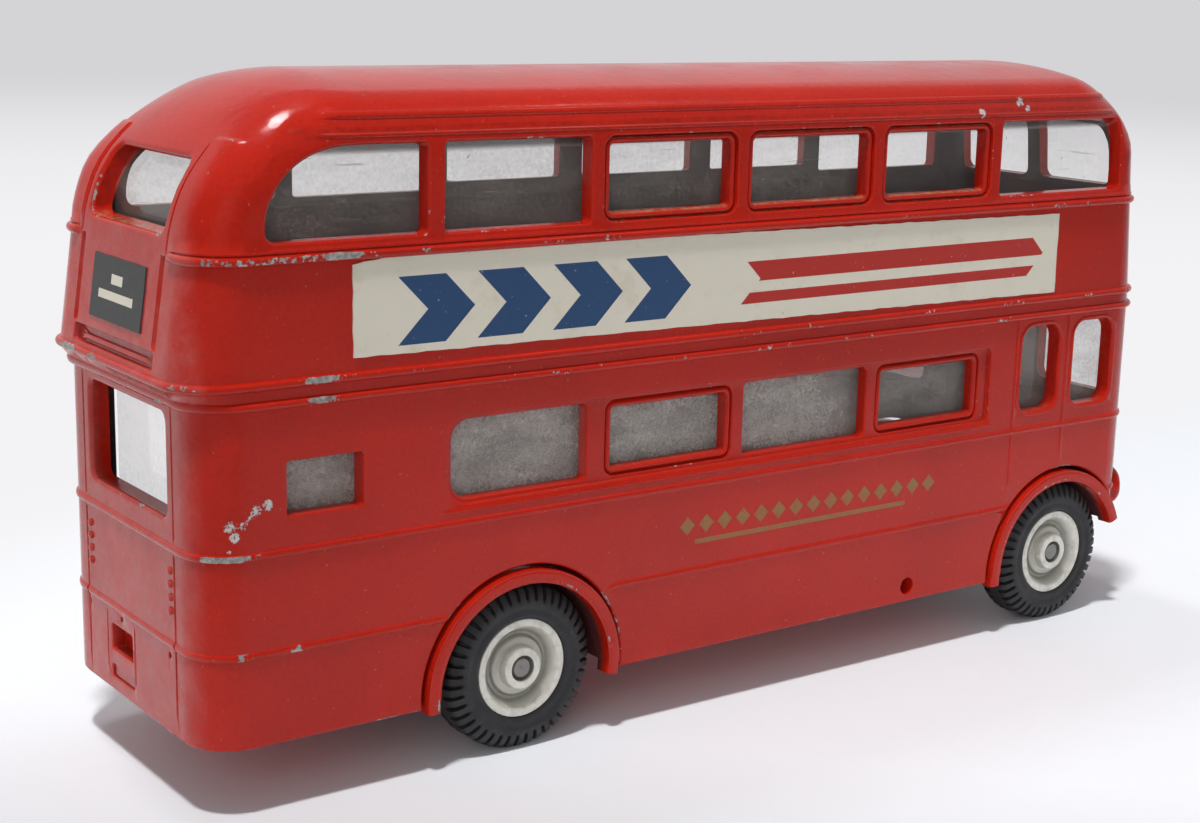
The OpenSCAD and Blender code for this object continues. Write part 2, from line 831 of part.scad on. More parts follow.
// Paper label on one side
module side_label(side)
    color("ivory")
        translate([-label_len / 2, side > 0 ? half_w : -half_w - label_t, label_z])
            cube([label_len, label_t, label_h]);

module rear_axle()
    axle(rear_axle_x);

module front_axle()
    axle(front_axle_x);

module right_side_label()
    side_label(-1);

module left_side_label()
    side_label(1);

// Paper labels on the floors of the destination panels
module rear_destination_label()
    color("#303030")
        on_rear()
            translate([dest_depth - label_t, -dest_w / 2, panel_up + (panel_h - dest_h) / 2])
                cube([label_t, dest_w, dest_h]);

module front_destination_label()
    color("#303030")
        on_front()
            translate([-dest_depth, -dest_w / 2, panel_up + (panel_h - dest_h) / 2])
                cube([label_t, dest_w, dest_h]);

body_shell();
chassis_base();
upper_glazing();
lower_glazing();
front_rivet();
rear_axle();
front_axle();
hub(rear_axle_x, -1);  // rear_right_hub
hub(rear_axle_x, 1);  // rear_left_hub
hub(front_axle_x, -1);  // front_right_hub
hub(front_axle_x, 1);  // front_left_hub
tyre(rear_axle_x, -1);  // rear_right_tyre
tyre(rear_axle_x, 1);  // rear_left_tyre
tyre(front_axle_x, -1);  // front_right_tyre
tyre(front_axle_x, 1);  // front_left_tyre
right_side_label();
left_side_label();
rear_destination_label();
front_destination_label();
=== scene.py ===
"""Looks of a die-cast toy double-deck bus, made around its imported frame.

It is laid out as an add-on: sizes and colours are properties of the scene, one operator makes each group of
pieces, and a panel in the 3D view's sidebar lists the operators. Lengths inside functions are millimetres.
"""

import math
from types import SimpleNamespace

import bmesh
import bpy
import numpy as np
from bpy.props import FloatProperty, FloatVectorProperty, IntProperty, PointerProperty
from mathutils import Matrix, Vector
from mathutils.geometry import delaunay_2d_cdt


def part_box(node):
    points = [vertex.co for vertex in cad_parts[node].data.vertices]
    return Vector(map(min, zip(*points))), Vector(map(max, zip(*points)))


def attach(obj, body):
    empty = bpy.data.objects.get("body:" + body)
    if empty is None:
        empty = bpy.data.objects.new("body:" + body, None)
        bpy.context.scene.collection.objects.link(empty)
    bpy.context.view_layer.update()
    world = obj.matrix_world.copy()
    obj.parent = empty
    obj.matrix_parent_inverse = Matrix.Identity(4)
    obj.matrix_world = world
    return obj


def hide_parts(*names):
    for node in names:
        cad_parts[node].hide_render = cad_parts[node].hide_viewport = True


bl_info = {
    "name": "Toy double-deck bus",
    "version": (1, 0, 0),
    "blender": (4, 5, 0),
    "location": "View3D > Sidebar > Toy bus",
    "description": "Makes the finished pieces of a die-cast toy bus around its frame",
    "category": "Object",
}

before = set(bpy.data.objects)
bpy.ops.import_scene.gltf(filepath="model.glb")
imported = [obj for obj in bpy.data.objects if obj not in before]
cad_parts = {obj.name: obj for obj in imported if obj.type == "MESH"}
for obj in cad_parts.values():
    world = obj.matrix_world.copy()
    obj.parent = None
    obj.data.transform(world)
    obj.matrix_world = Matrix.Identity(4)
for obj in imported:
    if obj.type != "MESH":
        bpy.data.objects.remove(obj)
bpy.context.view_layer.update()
MM = 0.001


# Sizes from the frame

def node_box(node):
    """Lowest and highest corner of a frame node, in millimetres."""
    low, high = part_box(node)
    return np.array(low) / MM, np.array(high) / MM


def middle(node):
    low, high = node_box(node)
    return (low + high) / 2


LABEL_LOW, LABEL_HIGH = node_box("right_side_label")
SKIRT_Z, ROOF_Z = node_box("body_shell")[0][2], node_box("body_shell")[1][2]
HALF_W = -LABEL_HIGH[1]
AXLES = {"rear": middle("rear_axle"), "front": middle("front_axle")}
HUB_R = np.ptp(np.array(node_box("rear_right_hub")), axis=0)[2] / 2
TYRE_R = np.ptp(np.array(node_box("rear_right_tyre")), axis=0)[2] / 2
TYRE_OUT = -node_box("rear_right_tyre")[0][1]
TYRE_W = np.ptp(np.array(node_box("rear_right_tyre")), axis=0)[1]
AXLE_R = np.ptp(np.array(node_box("rear_axle")), axis=0)[2] / 2
GUARD_OUT = node_box("chassis_base")[1][1]


# Properties

def linear(code):
    """Linear colour of an sRGB hex code."""
    parts = [int(code[i:i + 2], 16) / 255 for i in (1, 3, 5)]
    return tuple(p / 12.92 if p <= 0.04045 else ((p + 0.055) / 1.055) ** 2.4 for p in parts)


def length(name, description, size):
    """Property for a length, given in millimetres."""
    return FloatProperty(name=name, description=description, default=size * MM, unit="LENGTH", precision=5)


def angle(name, description, degrees):
    return FloatProperty(name=name, description=description, default=math.radians(degrees), subtype="ANGLE")


def colour(name, description, code):
    return FloatVectorProperty(name=name, description=description, default=linear(code), subtype="COLOR",
                               min=0, max=1)


class BusBodySizes(bpy.types.PropertyGroup):
    half_len: length("Half length", "From the middle to a lower end face", 53.75)
    corner_r: length("Corner radius", "Radius of the upright corners", 4)
    wall: length("Wall", "Thickness of the cast walls", 1.5)
    rear_wall: length("Rear wall", "Thickness of the rear wall", 1.7)
    nose_z: length("Nose height", "Height of the front panel's lower edge", 9.9)
    deck_z: length("Deck height", "Height at which the upper deck begins", 33.5)
    overhang: length("Rear overhang", "How far the upper deck stands out at the rear", 1.2)
    rear_dome_r: length("Rear dome radius", "Radius of the roof's bend at the rear", 15)
    front_dome_r: length("Front dome radius", "Radius of the roof's bend at the front", 9)
    rear_lean: angle("Rear lean", "Lean of the upper deck's rear", 8)
    front_lean: angle("Front lean", "Lean of the upper deck's front", 5.4)
    shoulder_r: length("Shoulder radius", "Radius of the roof's shoulders", 4.5)
    crown_r: length("Crown radius", "Radius of the roof's camber", 45)
    dome_z: length("Dome start", "Height above which the plan's corners melt into an oval", 49)
    dome_power: FloatProperty(name="Dome power", description="Squareness of the crown's oval", default=2.3)
    edge_r: length("Edge radius", "Rounding of the painted window edges", 0.28)
    rim_w: length("Rim width", "Width of an opening window's frame", 0.62)
    rim_depth: length("Rim depth", "How far an opening window's frame is set back", 0.5)
    panel_depth: length("Panel depth", "Depth of the panel that the lower windows share", 0.4)
    arch_gap: length("Arch gap", "Gap between a mudguard and the body's arch", 0.4)
    guard_r: length("Mudguard radius", "Outer radius of the mudguards", 9.8)
    guard_t: length("Mudguard thickness", "Thickness of the mudguards", 1.15)
    guard_z: length("Mudguard height", "Height of the mudguards' centre", 6.5)


class BusWheelSizes(bpy.types.PropertyGroup):
    lug_count: IntProperty(name="Lugs", description="Lugs around each shoulder of a tyre", default=44)
    lug_depth: length("Lug depth", "Depth of the grooves between the lugs", 0.5)
    groove_share: FloatProperty(name="Groove share", description="Part of the pitch that a groove takes up",
                                default=0.42, subtype="FACTOR")
    boss_r: length("Boss radius", "Radius of a hub's boss", 1.82)
    rim_w: length("Rim width", "Width of the bright rim around a hub", 0.72)
    dish: length("Dish depth", "Depth of a hub's dish", 1.05)


class BusFinishes(bpy.types.PropertyGroup):
    red: colour("Enamel red", "Red of the enamel", "#C0200C")
    # deep_red is also the colour of the painted shade in corners and folds
    deep_red: colour("Deep red", "Darker red of the mottle and of the painted shade in corners and folds", "#7E130C")
    zinc: colour("Zinc", "Bare die-cast metal where the enamel is worn", "#8E8A84")
    chip: colour("Chip", "Pale primer in the chips", "#C9C6C4")
    dust: colour("Dust", "House dust on ledges", "#B09A78")
    # film: partly dust and partly painted reflection of the bright backdrop in the rear face
    film: colour("Film and reflection", "Pale film on the rear, partly a painted reflection", "#D9CFCB")
    # inside also tints the painted shade under the window heads
    inside: colour("Inside", "Unpainted inside of the casting", "#5C5654")
    haze: colour("Haze", "Dusty haze on the clear windows", "#D8D2CA")
    rubber: colour("Rubber", "Black tyre rubber", "#252527")
    alloy: colour("Alloy", "Dull turned alloy of the hubs", "#E4E2D8")
    steel: colour("Steel", "Dulled steel of the axles", "#8B8986")
    paper: colour("Paper", "Aged cream paper", "#DFD9C8")
    navy: colour("Navy", "Navy printing ink", "#24466F")
    ink_red: colour("Red ink", "Red printing ink", "#B32A22")
    charcoal: colour("Charcoal", "Dark printed paper", "#3A3B3A")
    gold: colour("Gold", "Dull gold transfer", "#8C6E3C")
    sheet: colour("Floor", "Pale floor", "#ECEFF3")
    sheet_grain: colour("Floor grain", "Fine grain of the floor", "#DADADB")
    sheet_unlit: colour("Unlit floor", "Floor that runs out of the light", "#9E9E9F")
    sheet_far: colour("Floor behind", "Floor behind the bus as it is seen", "#F3F2F4")
    oxide: colour("Oxide", "Dark oxide in the hubs' dishes", "#656359")
    rust: colour("Rust", "Brown freckles on the steel", "#595045")
    # well_shade is the colour of the painted shade in the wheel wells
    well_shade: colour("Well shade", "Painted shade inside the wheel wells", "#292424")
    faded: colour("Faded charcoal", "Dark printed paper where it is rubbed", "#595957")
    tint: colour("Clear tint", "What the clear mouldings let through", "#FDFDFD")


class BusStage(bpy.types.PropertyGroup):
    lens: FloatProperty(name="Lens", description="Focal length for a 36 mm sensor, in mm", default=59.185)
    heading: angle("Heading", "Direction of the camera, from +Y towards +X", 36.091)
    pitch: angle("Pitch", "How far the camera looks down", 12.542)
    roll: angle("Roll", "Turn of the camera about its view", 1.363)
    tint: colour("Room tint", "Colour of the room's light", "#FCFCFF")
    sky: FloatProperty(name="Sky", description="Strength of the light from above", default=0.3)
    backdrop: FloatProperty(name="Backdrop", description="Strength of the backdrop's light", default=0.62)
    room: FloatProperty(name="Room", description="Strength of the light from the camera's side", default=0.2)
    far: FloatProperty(name="Far floor", description="Brightness of the far floor as seen", default=0.66)
    key: FloatProperty(name="Key", description="Power of the lamp above, in watts", default=6.2)
    fill: FloatProperty(name="Fill", description="Power of the soft side lamp, in watts", default=3.1)
    glint: FloatProperty(name="Glint", description="Power of the small lamp that the gloss mirrors, in watts",
                         default=1.1)


# Place of the camera, in millimetres
CAMERA_AT = (-113.84, -147.10, 65.91)


def millimetres(group):
    """A property group's values, with lengths in millimetres."""
    values = SimpleNamespace()
    for key, prop in group.bl_rna.properties.items():
        if key in ("rna_type", "name"):
            continue
        value = getattr(group, key)
        setattr(values, key, value / MM if getattr(prop, "unit", "") == "LENGTH" else value)
    return values


# Materials

# Short names of nodes: type, settings, sockets in the order of the values, and the output that is used
KINDS = {
    "object_place": ("ShaderNodeTexCoord", {}, (), "Object"),
    "direction": ("ShaderNodeTexCoord", {}, (), "Generated"),
    "wear": ("ShaderNodeAttribute", {"attribute_name": "wear"}, (), "Fac"),
    # shade_and_grime: per-point mask of painted shade and dust on the body, and of oxide on the hubs
    "shade_and_grime": ("ShaderNodeAttribute", {"attribute_name": "shade_and_grime"}, (), "Fac"),
    "normal": ("ShaderNodeNewGeometry", {}, (), "Normal"),
    "back_face": ("ShaderNodeNewGeometry", {}, (), "Backfacing"),
    "ray": ("ShaderNodeLightPath", {}, (), 0),
    "turned": ("ShaderNodeMapping", {}, ("Vector", "Rotation", "Scale"), 0),
    "split": ("ShaderNodeSeparateXYZ", {}, (0,), 0),
    "distance": ("ShaderNodeVectorMath", {"operation": "DISTANCE"}, (0, 1), "Value"),
    "dot": ("ShaderNodeVectorMath", {"operation": "DOT_PRODUCT"}, (0, 1), "Value"),
    "noise": ("ShaderNodeTexNoise", {"noise_dimensions": "4D"},
              ("Vector", "Scale", "Detail", "Roughness", "W"), "Fac"),
    "ramp": ("ShaderNodeMapRange", {"interpolation_type": "SMOOTHSTEP"}, range(5), 0),
    "slope": ("ShaderNodeMapRange", {}, range(5), 0),
    "blend": ("ShaderNodeMix", {"data_type": "RGBA"}, (0, 6, 7), 2),
    "bump": ("ShaderNodeBump", {}, ("Height", "Distance"), 0),
    "fresnel": ("ShaderNodeFresnel", {}, ("IOR",), 0),
    "principled": ("ShaderNodeBsdfPrincipled", {}, (), 0),
    "transparent": ("ShaderNodeBsdfTransparent", {}, ("Color",), 0),
    "glossy": ("ShaderNodeBsdfGlossy", {}, ("Color", "Roughness"), 0),
    "emission": ("ShaderNodeEmission", {}, ("Color", "Strength"), 0),
    "background": ("ShaderNodeBackground", {}, ("Color", "Strength"), 0),
    "either": ("ShaderNodeMixShader", {}, range(3), 0),
    "output": ("ShaderNodeOutputMaterial", {}, (0,), None),
    "world_output": ("ShaderNodeOutputWorld", {}, (0,), None),
}


def add(tree, kind, *values, output=None, **inputs):
    """Adds a node and returns its output. The kind is a short name, or else the operation of a Math node.
    Values or links go to its sockets in order, and inputs to sockets by their names."""
    math_node = "ShaderNodeMath", {"operation": kind}, range(2), 0
    node_type, settings, sockets, used = KINDS.get(kind, math_node)
    made = tree.nodes.new(node_type)
    for key, value in settings.items():
        setattr(made, key, value)
    named = {key.replace("_", " "): value for key, value in inputs.items()}
    for key, value in [*zip(sockets, values), *named.items()]:
        if isinstance(value, bpy.types.NodeSocket):
            tree.links.new(value, made.inputs[key])
        else:
            made.inputs[key].default_value = value
    return made.outputs[output or used] if made.outputs else made


def new_material(name):
    """An empty node material, and its node tree."""
    made = bpy.data.materials.new(name)
    made.use_nodes = True
    made.node_tree.nodes.clear()
    return made, made.node_tree


def rgba(values):
    return (*values[:3], 1.0)


def blobs(size):
    """Scale of a noise whose blobs are about size millimetres across."""
    return 1 / (size * MM)


def near(tree, at, centre, radius):
    """1 at a point of the object and 0 past a radius, both in millimetres."""
    gap = add(tree, "distance", at, tuple(c * MM for c in centre))
    return add(tree, "ramp", gap, 0.25 * radius * MM, radius * MM, 1.0, 0.0)


# Painted shade in the wheel wells: radius, fade and height, and how far from the middle plane it fades in
WELL = SimpleNamespace(r=8.75, fade=0.15, z=6.5, y=(13.9, 12.9))
# Middles and radii of the knocks that broke the enamel
KNOCKS = (
    ((-51.2, -13.8, 24.0), 1.05), ((-51.0, -13.8, 23.1), 0.9), ((-50.2, -14.0, 24.0), 0.75),
    ((-49.2, -14.0, 25.0), 1.1), ((-48.2, -14.0, 25.4), 0.95), ((-49.8, -14.0, 24.5), 0.5),
    ((-51.3, -13.6, 22.0), 0.4), ((28.0, -13.7, 53.6), 1.0), ((33.5, -13.4, 54.6), 1.2),
    ((34.4, -13.6, 53.9), 0.8), ((-44.3, -14.0, 52.8), 0.5),
)


def stoved_enamel(finishes):
    """Stoved enamel on die-cast zinc: a thick gloss with slight orange peel, rubbed to grey metal on the
    beads and edges, with a pale film on the rear that is partly dust and partly painted reflection, painted
    shade and settled dust in the folds, and painted shade in the wheel wells."""
    made, tree = new_material("stoved_enamel")
    at = add(tree, "object_place")
    wear, shade_and_grime = add(tree, "wear"), add(tree, "shade_and_grime")
    patches = add(tree, "noise", at, blobs(4.5), 3.0, 0.55, 0.0)
    grit = add(tree, "noise", at, blobs(0.45), 4.0, 0.7, 3.0)
    rub = add(tree, "MULTIPLY", wear, add(tree, "ramp", patches, 0.46, 0.66, 0.25, 1.0))
    bare = add(tree, "ramp", add(tree, "ADD", rub, add(tree, "MULTIPLY", grit, 1.9)), 1.62, 1.72)
    knocks = 0.0
    for centre, radius in KNOCKS:
        knocks = add(tree, "MAXIMUM", knocks, near(tree, at, centre, radius))
    ragged = add(tree, "noise", at, blobs(0.42), 5.0, 0.8, 8.0)
    chipped = add(tree, "ramp", add(tree, "ADD", add(tree, "MULTIPLY", knocks, 0.385), ragged), 0.84, 0.87)
    speck = add(tree, "ramp", add(tree, "noise", at, blobs(0.3), 1.0, 0.5, 5.0), 0.745, 0.77)
    mottle = add(tree, "ramp", add(tree, "noise", at, blobs(14.0), 4.0, 0.6, 1.0), 0.3, 0.75, 0.0, 0.26)
    stipple = add(tree, "ramp", add(tree, "noise", at, blobs(0.4), 3.0, 0.7, 7.0), 0.3, 0.8, 0.0, 0.3)
    tone = add(tree, "ADD", mottle, stipple)
    clumps = add(tree, "ramp", add(tree, "noise", at, blobs(0.7), 3.0, 0.6, 2.0), 0.25, 0.8)
    # Painted shade: the shade_and_grime mask, broken into clumps, darkens the red in recesses and folds; it
    # also gates the settled dust
    shade_and_dust = add(tree, "MULTIPLY", clumps, shade_and_grime)
    back, level = add(tree, "split", at, output="X"), add(tree, "split", at, output="Z")
    # Pale film on the rear face: partly dust and partly painted reflection of the bright backdrop, put into
    # the base colour
    film = add(tree, "ramp", add(tree, "noise", at, blobs(3.0), 5.0, 0.65, 9.0), 0.3, 0.75, 0.015, 0.1)
    film = add(tree, "MULTIPLY", film, add(tree, "ramp", back, -52.6 * MM, -53.7 * MM))
    up = add(tree, "split", add(tree, "normal"), output="Z")
    settled = add(tree, "MULTIPLY", add(tree, "ramp", up, 0.6, 0.95, 0.0, 0.8), shade_and_dust)
    settled = add(tree, "MULTIPLY", settled, add(tree, "ramp", level, 34 * MM, 44 * MM, 0.2, 1.0))
    red = add(tree, "blend", tone, rgba(finishes.red), rgba(finishes.deep_red))
    # Painted shade: the red darkens towards deep_red where the mask is high
    red = add(tree, "blend", add(tree, "MULTIPLY", shade_and_dust, 0.75), red, rgba(finishes.deep_red))
    red = add(tree, "blend", film, red, rgba(finishes.film))
    red = add(tree, "blend", settled, red, rgba(finishes.dust))
    red = add(tree, "blend", add(tree, "MULTIPLY", speck, 0.3), red, rgba(finishes.dust))
    flat = add(tree, "turned", at, (0.0, 0.0, 0.0), (1.0, 0.0, 1.0))
    # Painted shade: the enamel darkens towards well_shade near each axle, inside the wheel wells
    wells = 0.0
    for axle in AXLES.values():
        gap = add(tree, "distance", flat, (axle[0] * MM, 0.0, WELL.z * MM))
        wells = add(tree, "MAXIMUM", wells, add(tree, "ramp", gap, (WELL.r + WELL.fade) * MM, WELL.r * MM))
    aside = add(tree, "ABSOLUTE", add(tree, "split", at, output="Y"))
    wells = add(tree, "MULTIPLY", wells, add(tree, "ramp", aside, WELL.y[0] * MM, WELL.y[1] * MM, 0.0, 0.85))
    red = add(tree, "blend", wells, red, rgba(finishes.well_shade))
    red = add(tree, "blend", chipped, red, rgba(finishes.chip))
    metal = add(tree, "blend", add(tree, "ramp", grit, 0.4, 0.7), rgba(finishes.zinc), rgba(finishes.chip))
    base = add(tree, "blend", bare, red, metal)
    peel = add(tree, "MULTIPLY", add(tree, "noise", at, blobs(0.9), 2.0, 0.5, 4.0), 0.5)
    dry = add(tree, "MAXIMUM", bare, chipped)
    height = add(tree, "SUBTRACT", peel, add(tree, "MULTIPLY", dry, 0.8))
    smudge = add(tree, "ramp", add(tree, "noise", at, blobs(6.0), 4.0, 0.6, 6.0), 0.3, 0.8, 0.12, 0.26)
    rough = add(tree, "MAXIMUM", add(tree, "MAXIMUM", smudge, wells), add(tree, "MULTIPLY", dry, 0.5))
    face = add(tree, "principled", Base_Color=base, Metallic=add(tree, "MULTIPLY", bare, 0.55),
               Roughness=rough, IOR=1.5, Specular_IOR_Level=0.33,
               Normal=add(tree, "bump", height, 0.05 * MM))
    add(tree, "output", face)
    return made


def raw_casting(finishes):
    """Inside of the zinc casting: unpainted, dull and dusty, with a breath of red overspray."""
    made, tree = new_material("raw_zinc_casting")
    at = add(tree, "object_place")
    mist = add(tree, "ramp", add(tree, "noise", at, blobs(7.0), 4.0, 0.55, 0.0), 0.5, 0.8, 0.0, 0.5)
    base = add(tree, "blend", mist, rgba(finishes.inside), rgba(finishes.deep_red))
    face = add(tree, "principled", Base_Color=base, Roughness=0.75,
               Normal=add(tree, "bump", add(tree, "noise", at, blobs(0.5), 4.0, 0.55, 0.0), 0.06 * MM))
    add(tree, "output", face)
    return made


def clear_moulding(finishes):
    """Clear styrene moulding: you see through it, past a dusty film, wiping marks and fine scratches, with a
    band of painted shade under the window heads.
    """
    made, tree = new_material("clear_styrene")
    at = add(tree, "object_place")
    streaky = add(tree, "turned", at, (0.0, 0.35, 0.0), (0.35, 0.35, 1.0))
    film = add(tree, "noise", streaky, blobs(2.2), 5.0, 0.65, 0.0)
    specks = add(tree, "ramp", add(tree, "noise", at, blobs(0.3), 3.0, 0.7, 2.0), 0.66, 0.76, 0.0, 0.4)
    scratch_at = add(tree, "turned", at, (0.0, 0.22, 0.0), (0.05, 0.05, 1.0))
    scratches = add(tree, "noise", scratch_at, blobs(0.35), 1.0, 0.5, 7.0)
    scratches = add(tree, "ramp", scratches, 0.73, 0.77, 0.0, 0.35)
    back, height = add(tree, "split", at, output="X"), add(tree, "split", at, output="Z")
    grain = add(tree, "ramp", add(tree, "noise", at, blobs(0.3), 4.0, 0.75, 11.0), 0.3, 0.75, 0.45, 1.5)
    by_deck = add(tree, "ramp", height, 34 * MM, 36 * MM, 0.56, 0.17)
    veil = add(tree, "MULTIPLY", add(tree, "ramp", film, 0.25, 0.8, 0.4, 1.0), by_deck)
    behind = add(tree, "ramp", back, -48.5 * MM, -49.5 * MM)
    veil = add(tree, "MULTIPLY", veil, grain)
    veil = add(tree, "MULTIPLY", veil, add(tree, "ramp", behind, 0.0, 1.0, 1.0, 0.3))
    veil = add(tree, "MULTIPLY", veil, add(tree, "ramp", back, 4 * MM, 22 * MM, 1.0, 0.42))
    thick = add(tree, "MULTIPLY", behind, 0.1)
    veil = add(tree, "MAXIMUM", veil, thick)
    veil = add(tree, "MAXIMUM", veil, add(tree, "MAXIMUM", specks, scratches))
    dots = add(tree, "ramp", add(tree, "noise", at, blobs(0.7), 3.0, 0.7, 13.0), 0.7, 0.74)
    veil = add(tree, "MAXIMUM", veil, add(tree, "MULTIPLY", dots, 0.5))
    # Painted shade: a darker band of the veil under the window heads, tinted with the inside colour
    head = add(tree, "ramp", height, 51.5 * MM, 52.2 * MM)
    veil = add(tree, "MAXIMUM", veil, add(tree, "MULTIPLY", head, 0.62))
    dust = add(tree, "blend", add(tree, "MAXIMUM", dots, head), rgba(finishes.haze), rgba(finishes.inside))
    dusty = add(tree, "principled", Base_Color=dust, Roughness=0.42, IOR=1.5,
                Normal=add(tree, "bump", film, 0.02 * MM))
    clear = add(tree, "transparent", rgba(finishes.tint))
    shine = add(tree, "glossy", rgba(linear("#FFFFFF")), 0.08)
    outward = add(tree, "SUBTRACT", 1.0, add(tree, "back_face"))
    facing = add(tree, "MULTIPLY", add(tree, "fresnel", 1.3), outward)
    glass = add(tree, "either", facing, clear, shine)
    add(tree, "output", add(tree, "either", veil, glass, dusty))
    return made


def turned_alloy(finishes):
    """Turned alloy, dulled: oxide in the dish and the corners, small pits and a soft gleam."""
    made, tree = new_material("turned_alloy")
    at = add(tree, "object_place")
    shade_and_grime = add(tree, "shade_and_grime")
    oxide = add(tree, "ramp", add(tree, "noise", at, blobs(0.9), 5.0, 0.65, 0.0), 0.35, 0.75)
    pits = add(tree, "ramp", add(tree, "noise", at, blobs(0.22), 3.0, 0.6, 4.0), 0.64, 0.74)
    dark = add(tree, "MAXIMUM", add(tree, "MULTIPLY", oxide, 0.3), add(tree, "MULTIPLY", shade_and_grime, 0.75))
    dark = add(tree, "MAXIMUM", dark, add(tree, "MULTIPLY", pits, 0.55))
    base = add(tree, "blend", dark, rgba(finishes.alloy), rgba(finishes.oxide))
    dull = add(tree, "ramp", oxide, 0.0, 1.0, 0.34, 0.55)
    face = add(tree, "principled", Base_Color=base, Metallic=0.5, Roughness=dull,
               Normal=add(tree, "bump", add(tree, "noise", at, blobs(0.3), 4.0, 0.6, 2.0), 0.03 * MM))
    add(tree, "output", face)
    return made


def drawn_steel(finishes):
    """Drawn steel rod, dulled by age: grey with brown freckles."""
    made, tree = new_material("drawn_steel")
    at = add(tree, "object_place")
    freckle = add(tree, "ramp", add(tree, "noise", at, blobs(0.5), 4.0, 0.65, 0.0), 0.5, 0.75, 0.0, 0.6)
    base = add(tree, "blend", freckle, rgba(finishes.steel), rgba(finishes.rust))
    dull = add(tree, "ramp", freckle, 0.0, 0.6, 0.34, 0.6)
    face = add(tree, "principled", Base_Color=base, Metallic=0.85, Roughness=dull,
               Normal=add(tree, "bump", add(tree, "noise", at, blobs(0.25), 3.0, 0.6, 2.0), 0.02 * MM))
    add(tree, "output", face)
    return made


def moulded_rubber(finishes):
    """Moulded rubber, black and matt, with pale dust and lint."""
    made, tree = new_material("moulded_rubber")
    at = add(tree, "object_place")
    dust = add(tree, "ramp", add(tree, "noise", at, blobs(0.7), 5.0, 0.7, 0.0), 0.55, 0.85, 0.0, 0.16)
    lint = add(tree, "ramp", add(tree, "noise", at, blobs(0.25), 2.0, 0.6, 3.0), 0.7, 0.76, 0.0, 0.35)
    base = add(tree, "blend", add(tree, "MAXIMUM", dust, lint), rgba(finishes.rubber), rgba(finishes.dust))
    scuffs = add(tree, "ramp", add(tree, "noise", at, blobs(2.0), 3.0, 0.6, 5.0), 0.3, 0.7, 0.5, 0.68)
    face = add(tree, "principled", Base_Color=base, Roughness=scuffs, IOR=1.5,
               Normal=add(tree, "bump", add(tree, "noise", at, blobs(0.3), 4.0, 0.6, 1.0), 0.04 * MM))
    add(tree, "output", face)
    return made


def stripes(tree, value, first, pitch, count, width):
    """1 inside count stripes of a width, from first on; all in millimetres."""
    steps = add(tree, "DIVIDE", add(tree, "SUBTRACT", value, first * MM), pitch * MM)
    inside = add(tree, "MULTIPLY", add(tree, "GREATER_THAN", steps, 0.0),
                 add(tree, "LESS_THAN", steps, count))
    share = add(tree, "FRACT", steps)
    return add(tree, "MULTIPLY", inside, add(tree, "LESS_THAN", share, width / pitch))


def between(tree, value, low, high):
    """1 where value lies between two lengths in millimetres."""
    return add(tree, "MULTIPLY", add(tree, "GREATER_THAN", value, low * MM),
               add(tree, "LESS_THAN", value, high * MM))


def printed_paper(finishes):
    """Printed paper label, aged cream: navy chevrons and red rules in flat ink, rubbed and foxed."""
    made, tree = new_material("printed_cream_paper")
    at = add(tree, "object_place")
    along, up = add(tree, "split", at, output="X"), add(tree, "split", at, output="Z")
    mid_z = (LABEL_LOW[2] + LABEL_HIGH[2]) / 2
    slope = add(tree, "ABSOLUTE", add(tree, "SUBTRACT", up, mid_z * MM))
    chevron = stripes(tree, add(tree, "ADD", along, slope), -34.0, 7.4, 4, 4.4)
    chevron = add(tree, "MULTIPLY", chevron, add(tree, "LESS_THAN", slope, 2.75 * MM))
    rules = add(tree, "MAXIMUM", between(tree, up, mid_z - 2.2, mid_z - 1.2),
                between(tree, up, mid_z - 0.2, mid_z + 1.6))
    rules = add(tree, "MULTIPLY", rules, between(tree, add(tree, "ADD", along, slope), 0.5, 37.5))
    rub = add(tree, "ramp", add(tree, "noise", at, blobs(0.35), 4.0, 0.7, 6.0), 0.28, 0.34)
    fox = add(tree, "ramp", add(tree, "noise", at, blobs(3.0), 5.0, 0.65, 0.0), 0.5, 0.85, 0.0, 0.42)
    spots = add(tree, "ramp", add(tree, "noise", at, blobs(0.5), 3.0, 0.6, 2.0), 0.68, 0.75, 0.0, 0.5)
    paper = add(tree, "blend", add(tree, "MAXIMUM", fox, spots), rgba(finishes.paper), rgba(finishes.dust))
    ink = add(tree, "blend", add(tree, "MULTIPLY", chevron, rub), paper, rgba(finishes.navy))
    ink = add(tree, "blend", add(tree, "MULTIPLY", rules, rub), ink, rgba(finishes.ink_red))
    face = add(tree, "principled", Base_Color=ink, Roughness=0.5, IOR=1.45,
               Normal=add(tree, "bump", add(tree, "noise", at, blobs(0.4), 4.0, 0.6, 4.0), 0.02 * MM))
    add(tree, "output", face)
    return made


